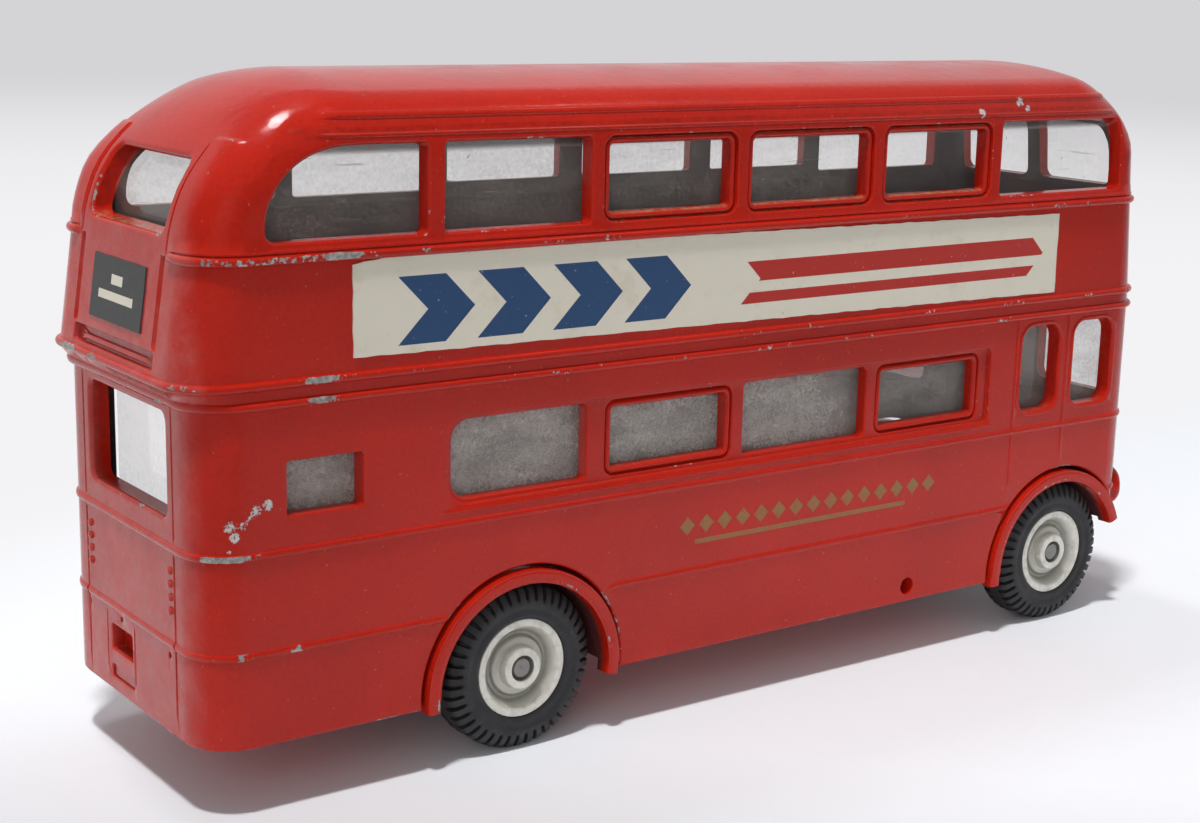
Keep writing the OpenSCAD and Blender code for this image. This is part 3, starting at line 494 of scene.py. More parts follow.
def printed_charcoal(finishes):
    """Printed paper, charcoal, with two plain cream bars."""
    made, tree = new_material("printed_charcoal_paper")
    at = add(tree, "object_place")
    across, up = add(tree, "split", at, output="Y"), add(tree, "split", at, output="Z")
    mid_z = middle("rear_destination_label")[2]
    short = add(tree, "MULTIPLY", between(tree, across, -1.1, 1.1),
                between(tree, up, mid_z + 0.55, mid_z + 1.35))
    long = add(tree, "MULTIPLY", between(tree, across, -3.4, 3.4),
               between(tree, up, mid_z - 0.75, mid_z - 0.05))
    rub = add(tree, "ramp", add(tree, "noise", at, blobs(0.4), 4.0, 0.7, 6.0), 0.2, 0.3)
    bars = add(tree, "MULTIPLY", add(tree, "MAXIMUM", short, long), rub)
    fade = add(tree, "ramp", add(tree, "noise", at, blobs(0.5), 4.0, 0.6, 0.0), 0.4, 0.8, 0.0, 0.3)
    dark = add(tree, "blend", fade, rgba(finishes.charcoal), rgba(finishes.faded))
    base = add(tree, "blend", bars, dark, rgba(finishes.paper))
    face = add(tree, "principled", Base_Color=base, Roughness=0.5, IOR=1.45,
               Normal=add(tree, "bump", add(tree, "noise", at, blobs(0.4), 4.0, 0.6, 4.0), 0.02 * MM))
    add(tree, "output", face)
    return made


def gold_transfer(finishes):
    """Gold transfer film, worn thin so that the enamel shows through it."""
    made, tree = new_material("gold_transfer")
    at = add(tree, "object_place")
    worn = add(tree, "ramp", add(tree, "noise", at, blobs(0.45), 5.0, 0.7, 0.0), 0.42, 0.7, 0.0, 0.75)
    base = add(tree, "blend", worn, rgba(finishes.gold), rgba(finishes.red))
    face = add(tree, "principled", Base_Color=base, Roughness=0.45, Normal=add(tree, "bump", worn, 0.01 * MM))
    add(tree, "output", face)
    return made


# Meshes

class Skin:
    """Points and faces of a piece, in millimetres, with its wear, its shade_and_grime mask (painted shade and
    settled dust on the body, oxide on the hubs) and material slot.
    """

    def __init__(self):
        self.points, self.faces, self.slots, self.wear, self.shade_and_grime = [], [], [], [], []

    def add(self, points, faces, wear=0.0, shade_and_grime=0.0, slot=0):
        start = len(self.points)
        points = np.asarray(points, float)
        self.points.extend(points.tolist())
        self.faces.extend([start + i for i in face] for face in faces)
        self.slots.extend([slot] * len(faces))
        self.wear.extend(np.broadcast_to(wear, len(points)).tolist())
        self.shade_and_grime.extend(np.broadcast_to(shade_and_grime, len(points)).tolist())

    def build(self, name, materials, sharp=50.0):
        """Mesh object of the skin, with doubled points merged."""
        mesh = bpy.data.meshes.new(name)
        mesh.from_pydata([[c * MM for c in p] for p in self.points], [], self.faces)
        for key in ("wear", "shade_and_grime"):
            mesh.attributes.new(key, "FLOAT", "POINT").data.foreach_set("value", getattr(self, key))
        mesh.polygons.foreach_set("material_index", self.slots)
        shape = bmesh.new()
        shape.from_mesh(mesh)
        bmesh.ops.remove_doubles(shape, verts=shape.verts, dist=0.002 * MM)
        bmesh.ops.dissolve_degenerate(shape, edges=shape.edges, dist=0.001 * MM)
        shape.to_mesh(mesh)
        shape.free()
        mesh.shade_smooth()
        mesh.set_sharp_from_angle(angle=math.radians(sharp))
        for material in materials:
            mesh.materials.append(material)
        made = bpy.data.objects.new(name, mesh)
        bpy.context.scene.collection.objects.link(made)
        even = made.modifiers.new("even_shading", "WEIGHTED_NORMAL")
        even.keep_sharp = True
        return made


def strips(rows, columns, closed):
    """Quads of a grid of rows by columns of points."""
    last = columns if closed else columns - 1
    return [[r * columns + c, r * columns + (c + 1) % columns, (r + 1) * columns + (c + 1) % columns,
             (r + 1) * columns + c] for r in range(rows - 1) for c in range(last)]


def flipped(faces):
    return [face[::-1] for face in faces]


def smooth(share):
    share = np.clip(share, 0, 1)
    return share * share * (3 - 2 * share)


def inside(points, loop):
    """Which points lie inside a closed loop."""
    x, y = points[:, 0], points[:, 1]
    found = np.zeros(len(points), bool)
    for (ax, ay), (bx, by) in zip(loop, np.roll(loop, -1, 0)):
        if ay != by:
            found ^= ((ay > y) != (by > y)) & (x < (bx - ax) * (y - ay) / (by - ay) + ax)
    return found


def away_from(points, loop, margin):
    """Which points are at least a margin away from a closed loop."""
    far = np.ones(len(points), bool)
    for a, b in zip(loop, np.roll(loop, -1, 0)):
        close = np.all((points > np.minimum(a, b) - margin) & (points < np.maximum(a, b) + margin), axis=1)
        if close.any():
            step = b - a
            share = np.clip((points[close] - a) @ step / max(step @ step, 1e-12), 0, 1)
            far[close] &= np.linalg.norm(points[close] - a - share[:, None] * step, axis=1) > margin
    return far


def grid_edges(columns, rows, number, loops, margin):
    """Edges between neighbours of a grid, along its rows and columns, where no loop comes near."""
    across = (number[:-1] >= 0) & (number[1:] >= 0)
    up = (number[:, :-1] >= 0) & (number[:, 1:] >= 0)
    for loop in loops:
        for a, b in zip(loop, np.roll(loop, -1, 0)):
            low, high = np.minimum(a, b) - margin, np.maximum(a, b) + margin
            first, last = np.searchsorted(columns, (low[0], high[0]))
            below, above = np.searchsorted(rows, (low[1], high[1]))
            across[max(first - 1, 0):last, below:above] = False
            up[first:last, max(below - 1, 0):above] = False
    found = [(number[c, r], number[c + 1, r]) for c, r in np.argwhere(across)]
    return found + [(number[c, r], number[c, r + 1]) for c, r in np.argwhere(up)]


def fill(outer, holes, columns, rows, margin=0.12):
    """Points and triangles of a flat region with holes, with grid points so that it can follow a curve."""
    loops = [np.asarray(loop, float) for loop in [outer, *holes]]
    grid = np.array([(c, r) for c in columns for r in rows])
    count, edges = sum(len(loop) for loop in loops), []
    if len(grid):
        keep = inside(grid, loops[0])
        for loop in loops[1:]:
            keep &= ~inside(grid, loop)
        for loop in loops:
            keep &= away_from(grid, loop, margin)
        grid = grid[keep]
        number = np.where(keep, count + np.cumsum(keep) - 1, -1).reshape(len(columns), len(rows))
        edges = grid_edges(columns, rows, number, loops, 0.05)
    start = 0
    for loop in loops:
        edges += [(start + i, start + (i + 1) % len(loop)) for i in range(len(loop))]
        start += len(loop)
    flat = np.vstack([*loops, grid]) if len(grid) else np.vstack(loops)
    made = delaunay_2d_cdt([Vector(p) for p in flat], edges, [], 0, 1e-7)
    points = np.array([tuple(p) for p in made[0]])
    faces = np.array([f for f in made[2] if len(f) == 3])
    centres = points[faces].mean(1)
    keep = inside(centres, loops[0])
    for loop in loops[1:]:
        keep &= ~inside(centres, loop)
    return points, faces[keep].tolist()


def pane(low, high, radii, inset=0.0, step=2.0, corner_steps=6):
    """Outline of a rounded rectangle drawn in by inset, against the clock from its lower left corner.
    The radii, or pairs across and up, are at its lower left, lower right, upper right and upper left."""
    (x0, y0), (x1, y1) = np.add(low, inset), np.subtract(high, inset)
    across = max(2, round((high[0] - low[0]) / step))
    up = max(2, round((high[1] - low[1]) / step))
    corners = ((x0, y0, 1, 1, 180), (x1, y0, -1, 1, 270), (x1, y1, -1, -1, 0), (x0, y1, 1, -1, 90))
    sizes = [np.maximum(np.broadcast_to(r, 2) - inset, 0.02) for r in radii]
    points = []
    for i, (x, y, right, rise, turn) in enumerate(corners):
        wide, tall = sizes[i]
        steps = corner_steps * (1 if wide < 3 else 3)
        for a in np.radians(np.linspace(turn, turn + 90, steps + 1)):
            points.append((x + right * wide + wide * math.cos(a), y + rise * tall + tall * math.sin(a)))
        next_wide, next_tall = sizes[(i + 1) % 4]
        tail = np.array(points[-1])
        nx, ny, nright, nrise, nturn = corners[(i + 1) % 4]
        a = math.radians(nturn)
        head = np.array((nx + nright * next_wide + next_wide * math.cos(a),
                         ny + nrise * next_tall + next_tall * math.sin(a)))
        parts = across if i % 2 == 0 else up
        points.extend(tuple(tail + (head - tail) * k / parts) for k in range(1, parts))
    return np.array(points)


# Body form

# Doorway of the platform on the nearside, and the space over the bonnet
DOORWAY = SimpleNamespace(x=(-35.95, -49.6), z=(7.9, 32.0))
NOTCH = SimpleNamespace(x=40.05, y=0.5, low=22.2, high=32.4, edge_r=0.3)
# How far below and above the deck's height an end face changes from upright to leaning
STEP_BELOW, STEP_ABOVE = 0.6, 0.9


class BodyEnd:
    """Side view of one end: upright below the deck, leaning above it, then the dome's arc."""

    def __init__(self, m, side, dome_r, lean, overhang):
        self.side, self.dome_r, self.lean = side, dome_r, lean
        self.dome_z = ROOF_Z - dome_r
        self.tangent_z = self.dome_z + dome_r * math.sin(lean)
        self.step_from, self.step_to = m.deck_z - STEP_BELOW, m.deck_z + STEP_ABOVE
        reach = dome_r * math.cos(lean) + (self.tangent_z - self.step_to) * math.tan(lean)
        self.low = reach - overhang
        self.x = side * (m.half_len - self.low)

    def reach(self, z):
        """Distance of the end face from the dome's centre line."""
        leaning = self.dome_r * math.cos(self.lean) + (self.tangent_z - z) * math.tan(self.lean)
        arc = np.sqrt(np.maximum(self.dome_r ** 2 - (z - self.dome_z) ** 2, 0))
        upper = np.where(z < self.tangent_z, leaning, arc)
        share = smooth((z - self.step_from) / (self.step_to - self.step_from))
        return self.low + (upper - self.low) * share


class BodyForm:
    """Outer face of the body. A point is given by s, the way round the plan from the seam, and its height z.
    From the seam on the nearside the way goes to the rear, along the offside and round the front."""

    # Where the seam is, how far before a corner the rear wall begins to thin, and how far past it that ends
    seam_x = -33.1
    thin_before, thin_after = 1.5, 0.5

    def __init__(self, m):
        self.m = m
        self.rear = BodyEnd(m, -1, m.rear_dome_r, m.rear_lean, m.overhang)
        self.front = BodyEnd(m, 1, m.front_dome_r, m.front_lean, 0.0)
        self.shoulder_y = HALF_W - m.shoulder_r
        self.crown_z = ROOF_Z - m.crown_r
        self.shoulder_z = self.crown_z + math.sqrt((m.crown_r - m.shoulder_r) ** 2 - self.shoulder_y ** 2)
        share = m.crown_r / (m.crown_r - m.shoulder_r)
        self.camber_z = self.crown_z + (self.shoulder_z - self.crown_z) * share
        self.flat = HALF_W - m.corner_r
        self.corner = m.corner_r * math.pi / 2
        lengths = [self.seam_x - self.rear.x, self.cap_length(self.rear), self.front.x - self.rear.x,
                   self.cap_length(self.front), self.front.x - self.seam_x]
        self.marks = np.concatenate([[0], np.cumsum(lengths)])
        self.total = self.marks[-1]
        self.rear_mid = (self.marks[1] + self.marks[2]) / 2
        self.front_mid = (self.marks[3] + self.marks[4]) / 2

    def cap_length(self, end):
        return 2 * (self.flat + self.corner + end.low - self.m.corner_r)

    def half_width(self, z):
        m = self.m
        shoulder = self.shoulder_y + np.sqrt(np.maximum(m.shoulder_r ** 2 - (z - self.shoulder_z) ** 2, 0))
        camber = np.sqrt(np.maximum(m.crown_r ** 2 - (z - self.crown_z) ** 2, 0))
        return np.where(z < self.shoulder_z, HALF_W, np.where(z < self.camber_z, shoulder, camber))

    def cap(self, away, z, end):
        """x and |y| of an end, at a way from the middle of its face."""
        m = self.m
        r = m.corner_r
        turn = np.clip((away - self.flat) / r, 0, math.pi / 2)
        straight = np.maximum(away - self.flat - self.corner, 0)
        out = (end.low - r + r * np.cos(turn) - straight) / end.low
        wide = (np.minimum(away, self.flat) + r * np.sin(turn)) / HALF_W
        size = np.hypot(out, wide)
        c, d = out / size, wide / size
        power = m.dome_power
        oval = (np.abs(c) ** power + np.abs(d) ** power) ** (-1 / power)
        melt = smooth((z - m.dome_z) / (ROOF_Z - m.dome_z))
        size = size + (oval - size) * melt
        return end.x + end.side * end.reach(z) * size * c, self.half_width(z) * size * d

    def face(self, s, z):
        """Points of the outer face without its relief."""
        s, z = np.broadcast_arrays(np.mod(np.asarray(s, float), self.total), np.minimum(z, ROOF_Z))
        k = np.clip(np.searchsorted(self.marks, s, "right") - 1, 0, 4)
        half = self.half_width(z)
        x_rear, y_rear = self.cap(np.abs(s - self.rear_mid), z, self.rear)
        x_front, y_front = self.cap(np.abs(s - self.front_mid), z, self.front)
        x = np.choose(k, [self.seam_x - s, x_rear, self.rear.x + s - self.marks[2], x_front,
                          self.front.x - s + self.marks[4]])
        y = np.choose(k, [half, np.sign(self.rear_mid - s) * y_rear, -half,
                          np.sign(s - self.front_mid) * y_front, half])
        return np.stack([x, y, z], -1)

    def normal(self, s, z):
        d = 0.01
        along = self.face(s + d, z) - self.face(s - d, z)
        up = self.face(s, np.minimum(z + d, ROOF_Z)) - self.face(s, z - d)
        n = np.cross(along, up)
        size = np.linalg.norm(n, axis=-1, keepdims=True)
        n = np.where(size > 1e-9, n / np.maximum(size, 1e-12), [0.0, 0.0, 1.0])
        top = np.broadcast_to(z, np.shape(size)[:-1]) > ROOF_Z - 0.02
        return np.where(top[..., None], [0.0, 0.0, 1.0], n)

    def thickness(self, s):
        """Thickness of the wall, which is greater at the rear."""
        away = np.abs(np.asarray(s, float) - self.rear_mid)
        span = self.corner + self.thin_before + self.thin_after
        share = 1 - smooth((away - self.flat + self.thin_before) / span)
        return self.m.wall + (self.m.rear_wall - self.m.wall) * share

    def point(self, s, z, depth=0.0):
        """Points at a depth below the relief of the outer face."""
        s, z = np.asarray(s, float), np.asarray(z, float)
        lift = self.relief(s, z)[0] - depth
        return self.face(s, z) + self.normal(s, z) * np.asarray(lift)[..., None]

    def stand(self, s, z, out):
        """Points that stand out from the face, whatever its relief."""
        return self.face(s, z) + self.normal(s, z) * out

    # Reliefs: beads round the body, and upright ribs, strips and grooves

    def beads(self):
        """Middle and half height, how far out, and the stretch of s that each takes (None is all)."""
        deck, mid = self.m.deck_z, self.rear_mid
        offside = (self.side_s(-45.0, 50.0, -1), self.side_s(49.0, 50.0, -1), 2.0)
        nearside = (self.side_s(49.0, 50.0, 1), self.total + 2.0, 2.0)
        nearside_rear = (-2.0, self.side_s(-45.0, 50.0, 1), 2.0)
        round_front, round_near = (mid + 8.7, self.total + 2.0, 0.6), (-2.0, mid - 8.7, 0.6)
        rows = [(13.4, 0.32, 0.18, None), (21.4, 0.34, 0.22, None), (deck - 0.3, 0.36, 0.42, None),
                (deck + 1.25, 0.38, 0.42, None), (35.98, 0.3, 0.34, (mid - 7.3, mid + 7.3, 0.3)),
                (44.25, 0.2, -0.3, (mid - 8.8, mid + 8.8, 0.3)),
                (52.55, 0.14, -0.16, (mid - 8.4, mid + 8.4, 0.2))]
        for stretch in (round_front, round_near):
            rows += [(44.25, 0.4, 0.42, stretch), (44.84, 0.16, 0.14, stretch)]
        for stretch in (offside, nearside, nearside_rear):
            rows += [(54.02, 0.5, -0.28, stretch), (53.36, 0.15, 0.1, stretch), (54.85, 0.3, 0.24, stretch)]
        ends = self.side_s(np.array([-32.5, 32.0]), 22.0, -1)
        rows.append((22.42, 0.14, 0.1, (ends[0], ends[1], 0.6)))
        return rows

    def uprights(self):
        """Middle s, half width, height out, and lower and upper end."""
        mid = self.rear_mid
        rows = [(self.side_s(x, 20.0, -1), 0.22, 0.14, 15.8, 32.2) for x in (34.9, 42.4)]
        for side in (-1, 1):
            rows += [(mid + side * 8.9, 0.18, -0.22, SKIRT_Z - 1, 20.9),
                     (mid + side * 8.9, 0.16, -0.14, 22.0, 32.5),
                     (mid + side * 7.85, 0.42, -0.45, 37.0, 44.3),
                     (mid + side * 8.3, 0.16, -0.18, 44.2, 52.6)]
        rows += [(mid - y, 0.14, -0.16, SKIRT_Z - 1, 12.95) for y in (5.05, -0.66)]
        return rows

    # Corner pillars beside the rear upper window: edges with their fades, foot and top with theirs, how far
    # out they stand at the foot and the top and where that changes, and the worn ledge below the top
    PILLAR = SimpleNamespace(inner=8.55, edge=0.15, outer=11.6, fade=1.4, low=44.9, low_fade=0.3, high=53.05,
                             high_fade=0.15, out=0.12, top=0.15, swell_from=48.0, swell=5.0,
                             ledge=(0.25, 0.05), ledge_wear=1.25)

    # Fade at the ends of an upright, and how far out a bead stands that takes the full wear
    UPRIGHT_FADE, WORN_OUT = 0.3, 0.4

    # Where beads end: distance from the doorway's sides and top and from an arch, with the fades
    BEAD_END = SimpleNamespace(door=0.9, door_fade=0.5, door_top=0.5, arch=0.05, arch_fade=0.45)

    # Stretches of the offside's beads that are rubbed bare: height, half height, rear and front end, and wear
    RUBBED = ((44.3, 0.26, -52.6, -38.4, 2.5), (34.85, 0.2, -46.0, -35.0, 1.45),
              (33.3, 0.2, -48.0, -41.0, 1.3), (21.4, 0.3, -53.0, -46.5, 1.25),
              (13.4, 0.3, -51.0, -45.5, 1.2))

    def settle(self):
        """Works the reliefs out once."""
        self.bead_rows, self.upright_rows = self.beads(), self.uprights()
        self.door = self.side_s(np.array(DOORWAY.x), 20.0, 1)

    def clear(self, s, z):
        """0 close to the doorway and the arches, where the beads end, and 1 elsewhere."""
        end = self.BEAD_END
        past_front = smooth((s - self.door[0] + end.door) / end.door_fade)
        before_rear = smooth((self.door[1] + end.door - s) / end.door_fade)
        share = 1 - past_front * before_rear * (z < DOORWAY.z[1] + end.door_top)
        x = self.face(s, z)[..., 0]
        for axle in AXLES.values():
            gap = np.hypot(x - axle[0], z - self.m.guard_z) - self.m.guard_r - self.m.arch_gap
            share = share * smooth((gap - end.arch) / end.arch_fade)
        return share

    def relief(self, s, z):
        """How far the face stands out at each point, and how exposed it is there to wear."""
        s, z = np.broadcast_arrays(s, z)
        out, worn = np.zeros(s.shape), np.zeros(s.shape)
        clear = self.clear(s, z)
        for mid, half, high, stretch in self.bead_rows:
            share = np.sqrt(np.maximum(1 - ((z - mid) / half) ** 2, 0)) * clear
            if stretch:
                start, end, fade = stretch
                share = share * smooth((s - start) / fade) * smooth((end - s) / fade)
            out = np.maximum(out, high * share) if high > 0 else out + high * share
            worn = np.maximum(worn, share * min(high / self.WORN_OUT, 1))
        for mid, half, high, low_z, high_z in self.upright_rows:
            share = np.sqrt(np.maximum(1 - ((s - mid) / half) ** 2, 0))
            share = share * smooth((z - low_z) / self.UPRIGHT_FADE) * smooth((high_z - z) / self.UPRIGHT_FADE)
            out = np.maximum(out, high * share) if high > 0 else out + high * share
        away, p = np.abs(s - self.rear_mid), self.PILLAR
        pillar = smooth((away - p.inner) / p.edge) * (1 - smooth((away - p.outer) / p.fade))
        pillar = pillar * smooth((z - p.low) / p.low_fade) * smooth((p.high - z) / p.high_fade)
        high = pillar * (p.out + (p.top - p.out) * smooth((z - p.swell_from) / p.swell))
        out = np.where(high > 0, np.maximum(out, high), out)
        x = self.face(s, z)[..., 0]
        offside = (s > self.rear_mid) & (s < self.front_mid)
        for height, half, start, end, bare in self.RUBBED:
            there = (np.abs(z - height) < half) & (x > start) & (x < end) & offside
            worn = np.where(there, bare, worn)
        ledge = (away > p.inner) & (away < p.outer) & (z > p.high - p.ledge[0]) & (z < p.high - p.ledge[1])
        worn = np.where(ledge, p.ledge_wear, worn)
        return out, worn

    # Places on the faces

    def side_s(self, x, z, side):
        """s of a place on a side, -1 for the offside, at x and z."""
        x, z = np.broadcast_arrays(np.asarray(x, float), np.asarray(z, float))
        low = np.full(x.shape, self.rear_mid if side < 0 else self.front_mid)
        high = np.full(x.shape, self.front_mid if side < 0 else self.total + self.rear_mid)
        for _ in range(48):
            s = (low + high) / 2
            short = (self.face(s, z)[..., 0] - x) * -side > 0
            low, high = np.where(short, low, s), np.where(short, s, high)
        return np.mod((low + high) / 2, self.total)

    def offside(self, points):
        return np.column_stack([self.side_s(points[:, 0], points[:, 1], -1), points[:, 1]])

    def nearside(self, points):
        """Points drawn with -x to the right, as the nearside is seen."""
        return np.column_stack([self.side_s(-points[:, 0], points[:, 1], 1), points[:, 1]])

    def on_rear(self, points):
        """Points drawn with -y to the right, as the rear is seen."""
        return points + [self.rear_mid, 0]

    def on_front(self, points):
        return points + [self.front_mid, 0]


class Wall:
    """Flat wall: a point is given by u along it and z, and depth goes in from its face."""

    def __init__(self, corner, along, inward, wall):
        self.corner, self.along, self.inward = (np.array(v, float) for v in (corner, along, inward))
        self.wall = wall

    def point(self, u, z, depth=0.0):
        u, z, depth = np.broadcast_arrays(u, z, depth)
        flat = self.corner + u[..., None] * self.along + depth[..., None] * self.inward
        flat[..., 2] = z
        return flat

    def thickness(self, u):
        return np.full(np.shape(u), self.wall)


# Profiles of openings: how far in from the outline, how deep, and how exposed to wear

THROUGH = None


def round_edge(r, steps=5):
    turns = np.linspace(0, math.pi / 2, steps + 1)
    return [(r * (math.sin(a) - 1), r * (1 - math.cos(a)), 0.75 * math.sin(2 * a)) for a in turns]


def plain_profile(m):
    return round_edge(m.edge_r) + [(0.04, THROUGH, 0.0)]


def framed_profile(m):
    """Recess, and in it the bulging frame of an opening window."""
    bulge = []
    for t in np.linspace(0, 1, 8):
        out = math.sin(math.pi * t) ** 0.7
        bulge.append((0.1 + m.rim_w * t, m.rim_depth + 0.06 - 0.36 * out, 0.35 * out))
    return round_edge(0.18) + [(0.02, m.rim_depth, 0.0)] + bulge + [(0.14 + m.rim_w, THROUGH, 0.0)]


def raised_profile():
    """Frame that stands out of the wall round a cab window."""
    bulge = []
    for t in np.linspace(0, 1, 8):
        out = math.sin(math.pi * t)
        bulge.append((-0.5 + 0.5 * t, -0.2 * out ** 0.8 + 0.12 * t, 0.4 * out))
    return bulge + [(0.02, 0.3, 0.0), (0.05, THROUGH, 0.0)]


def sunk_profile(depth, r=0.12):
    return round_edge(r, 3) + [(0.02, depth - 0.06, 0.0), (0.08, depth, 0.0)]


class Opening:
    """Opening in a wall: its outline, the place that puts it on the wall, and its profile."""

    def __init__(self, outline, place, profile, level=0.0, floor=False, inner=(), form=None):
        self.outline, self.place, self.profile = outline, place, profile
        self.level, self.floor, self.inner, self.form = level, floor, inner, form

    def ring(self, k):
        """Ring of the profile. With a form given, the wall leans and the opening goes through it level."""
        ring = self.place(self.outline(self.profile[k][0]))
        if self.form and self.profile[k][1] is THROUGH:
            flat = ring[:, 1].copy()
            for _ in range(12):
                rise = self.form.normal(ring[:, 0], ring[:, 1])[:, 2] * self.form.thickness(ring[:, 0])
                ring = np.column_stack([ring[:, 0], flat + rise])
        return ring

    def draw(self, skin, wall):
        """Adds the opening's edge to the skin, and its floor with the openings in it."""
        rings, worn, recess_shade_and_dust = [], [], []
        for k, (_, depth, wear) in enumerate(self.profile):
            ring = self.ring(k)
            deep = wall.thickness(ring[:, 0]) if depth is THROUGH else self.level + depth
            rings.append(wall.point(ring[:, 0], ring[:, 1], np.broadcast_to(deep, len(ring))))
            worn.append(np.full(len(ring), wear))
            # Painted shade: rings deeper than 0.3 mm get the full mask, which darkens the enamel in the
            # recess and lets dust settle on its upward faces
            recess_shade_and_dust.append(np.full(len(ring), 0.0 if depth is THROUGH or depth < 0.3 else 1.0))
        faces = strips(len(rings), len(rings[0]), True)
        skin.add(np.vstack(rings), faces, np.concatenate(worn), np.concatenate(recess_shade_and_dust))
        if self.floor:
            deep = self.level + self.profile[-1][1]
            holes = [o.ring(0) for o in self.inner]
            last = self.ring(-1)
            columns = np.arange(last[:, 0].min(), last[:, 0].max(), SIDE_STEP)[1:]
            rows = body_rows(wall, last[:, 1].min(), last[:, 1].max(), True)
            flat, faces = fill(last, holes, columns, rows)
            # Painted shade: the recess floor gets a light mask
            skin.add(wall.point(flat[:, 0], flat[:, 1], np.full(len(flat), deep)), faces, 0.0, 0.15)
            for o in self.inner:
                o.draw(skin, wall)

    def through(self):
        """The openings of this one that pierce the wall."""
        own = [self] if self.profile[-1][1] is THROUGH else []
        return own + [p for o in self.inner for p in o.through()]


def window(place, low, high, radii, profile, level=0.0, **more):
    if np.isscalar(radii):
        radii = (radii,) * 4
    return Opening(lambda inset: pane(low, high, radii, inset), place, profile, level, **more)


# Upper windows of a side: rear and front edge, and whether they are framed
UPPER_PANES = ((-48.0, -33.9, False), (-32.3, -18.1, False), (-16.8, -2.4, True), (-1.2, 13.9, True),
               (15.1, 29.5, True), (30.9, 48.5, False))
UPPER_SILL, UPPER_HEAD = 45.5, 52.7
# Radii of plain and framed corners, and of the first window's lower and swept upper rear corner
UPPER_R, UPPER_FRAMED_R, UPPER_REAR_R, SWEPT_R = 0.45, 1.1, 0.9, (7.6, 6.1)
# Lower windows of a side, in the panel that they share
LOWER_PANES = ((-31.4, -17.9, False), (-15.9, -1.8, True), (-0.4, 14.7, False), (16.0, 29.9, True))
LOWER_PANEL = ((-31.9, 22.9), (31.2, 30.4))
LOWER_SILL, LOWER_HEAD = 23.3, 30.0
LOWER_RIM_DEPTH, LOWER_EDGE_R = 0.3, 0.2
LOWER_R, LOWER_FRAMED_R, LOWER_REAR_R, PANEL_R, PANEL_REAR_R = 0.5, 1.0, 1.7, 0.6, 2.0


def side_windows(form, m, side):
    """Windows that both sides have."""
    place = form.offside if side < 0 else form.nearside

    def drawn(rear, front, low, high, radii):
        corners = (rear, low), (front, high)
        if side > 0:
            corners = (-front, low), (-rear, high)
            radii = (radii[1], radii[0], radii[3], radii[2])
        return corners[0], corners[1], radii

    found = []
    for i, (rear, front, framed) in enumerate(UPPER_PANES):
        r = UPPER_FRAMED_R if framed else UPPER_R
        radii = (UPPER_REAR_R, r, r, SWEPT_R) if i == 0 else (r,) * 4
        profile = framed_profile(m) if framed else plain_profile(m)
        found.append(window(place, *drawn(rear, front, UPPER_SILL, UPPER_HEAD, radii), profile))
    inner = []
    for i, (rear, front, framed) in enumerate(LOWER_PANES):
        r = LOWER_FRAMED_R if framed else LOWER_R
        radii = (LOWER_REAR_R, r, r, LOWER_REAR_R) if i == 0 else (r,) * 4
        profile = round_edge(LOWER_EDGE_R) + [(0.04, THROUGH, 0.0)]
        if framed:
            profile = framed_profile(SimpleNamespace(rim_w=m.rim_w, rim_depth=LOWER_RIM_DEPTH))
        corners = drawn(rear, front, LOWER_SILL, LOWER_HEAD, radii)
        inner.append(window(place, *corners, profile, m.panel_depth))
    low, high = LOWER_PANEL
    radii = PANEL_REAR_R, PANEL_R, PANEL_R, PANEL_REAR_R
    found.append(window(place, *drawn(low[0], high[0], low[1], high[1], radii), sunk_profile(m.panel_depth),
                        floor=True, inner=inner))
    return found


# Other openings: lower left and upper right corner as they are seen from outside, and the corners' radius
STAIR_PANE = (-46.5, 24.2), (-39.8, 28.6), 0.25
CAB_PANES = ((35.7, 23.2), (41.2, 32.0), 1.5), ((43.4, 23.2), (49.3, 32.0), 1.5)
DOOR_OPENING = (-DOORWAY.x[0], DOORWAY.z[0]), (-DOORWAY.x[1], DOORWAY.z[1]), 1.4
REAR_UPPER_PANE = (-7.2, 45.8), (7.2, 51.5), 0.9
REAR_LOWER_PANE = (-7.6, 23.6), (7.6, 32.0), 0.9
REAR_POCKET = (-7.9, 35.45), (7.9, 36.85), 0.25
TONGUE_SLOT = (-4.3, 7.0), (0.3, 8.1), 0.15
PLATE_POCKET = (-4.2, 9.4), (0.1, 11.7), 0.2
FRONT_PANES = [((y - 4.9, UPPER_SILL), (y + 4.9, UPPER_HEAD - 0.2), 0.9) for y in (-5.7, 5.7)]
FRONT_PANEL = (-7.2, 37.2), (7.2, 43.5), 0.3
WINDSCREEN = (NOTCH.y - 12.3, 23.2), (NOTCH.y - 1.9, 32.0), 1.2
REAR_POCKET_DEPTH, PLATE_POCKET_DEPTH, FRONT_PANEL_DEPTH = 0.5, 1.2, 0.4
# Middle and radius of the small dimples in the rear and of the hole in the offside skirt
DIMPLES = (-2.0, 12.6, 0.24), (-8.75, 12.4, 0.26), (7.7, 12.4, 0.26)
SKIRT_HOLE = AXLES["front"][0] - 21.6, SKIRT_Z + 1.6, 0.85


def around(u, z, r):
    """Corners and radius of a round opening."""
    return (u - r, z - r), (u + r, z + r), r


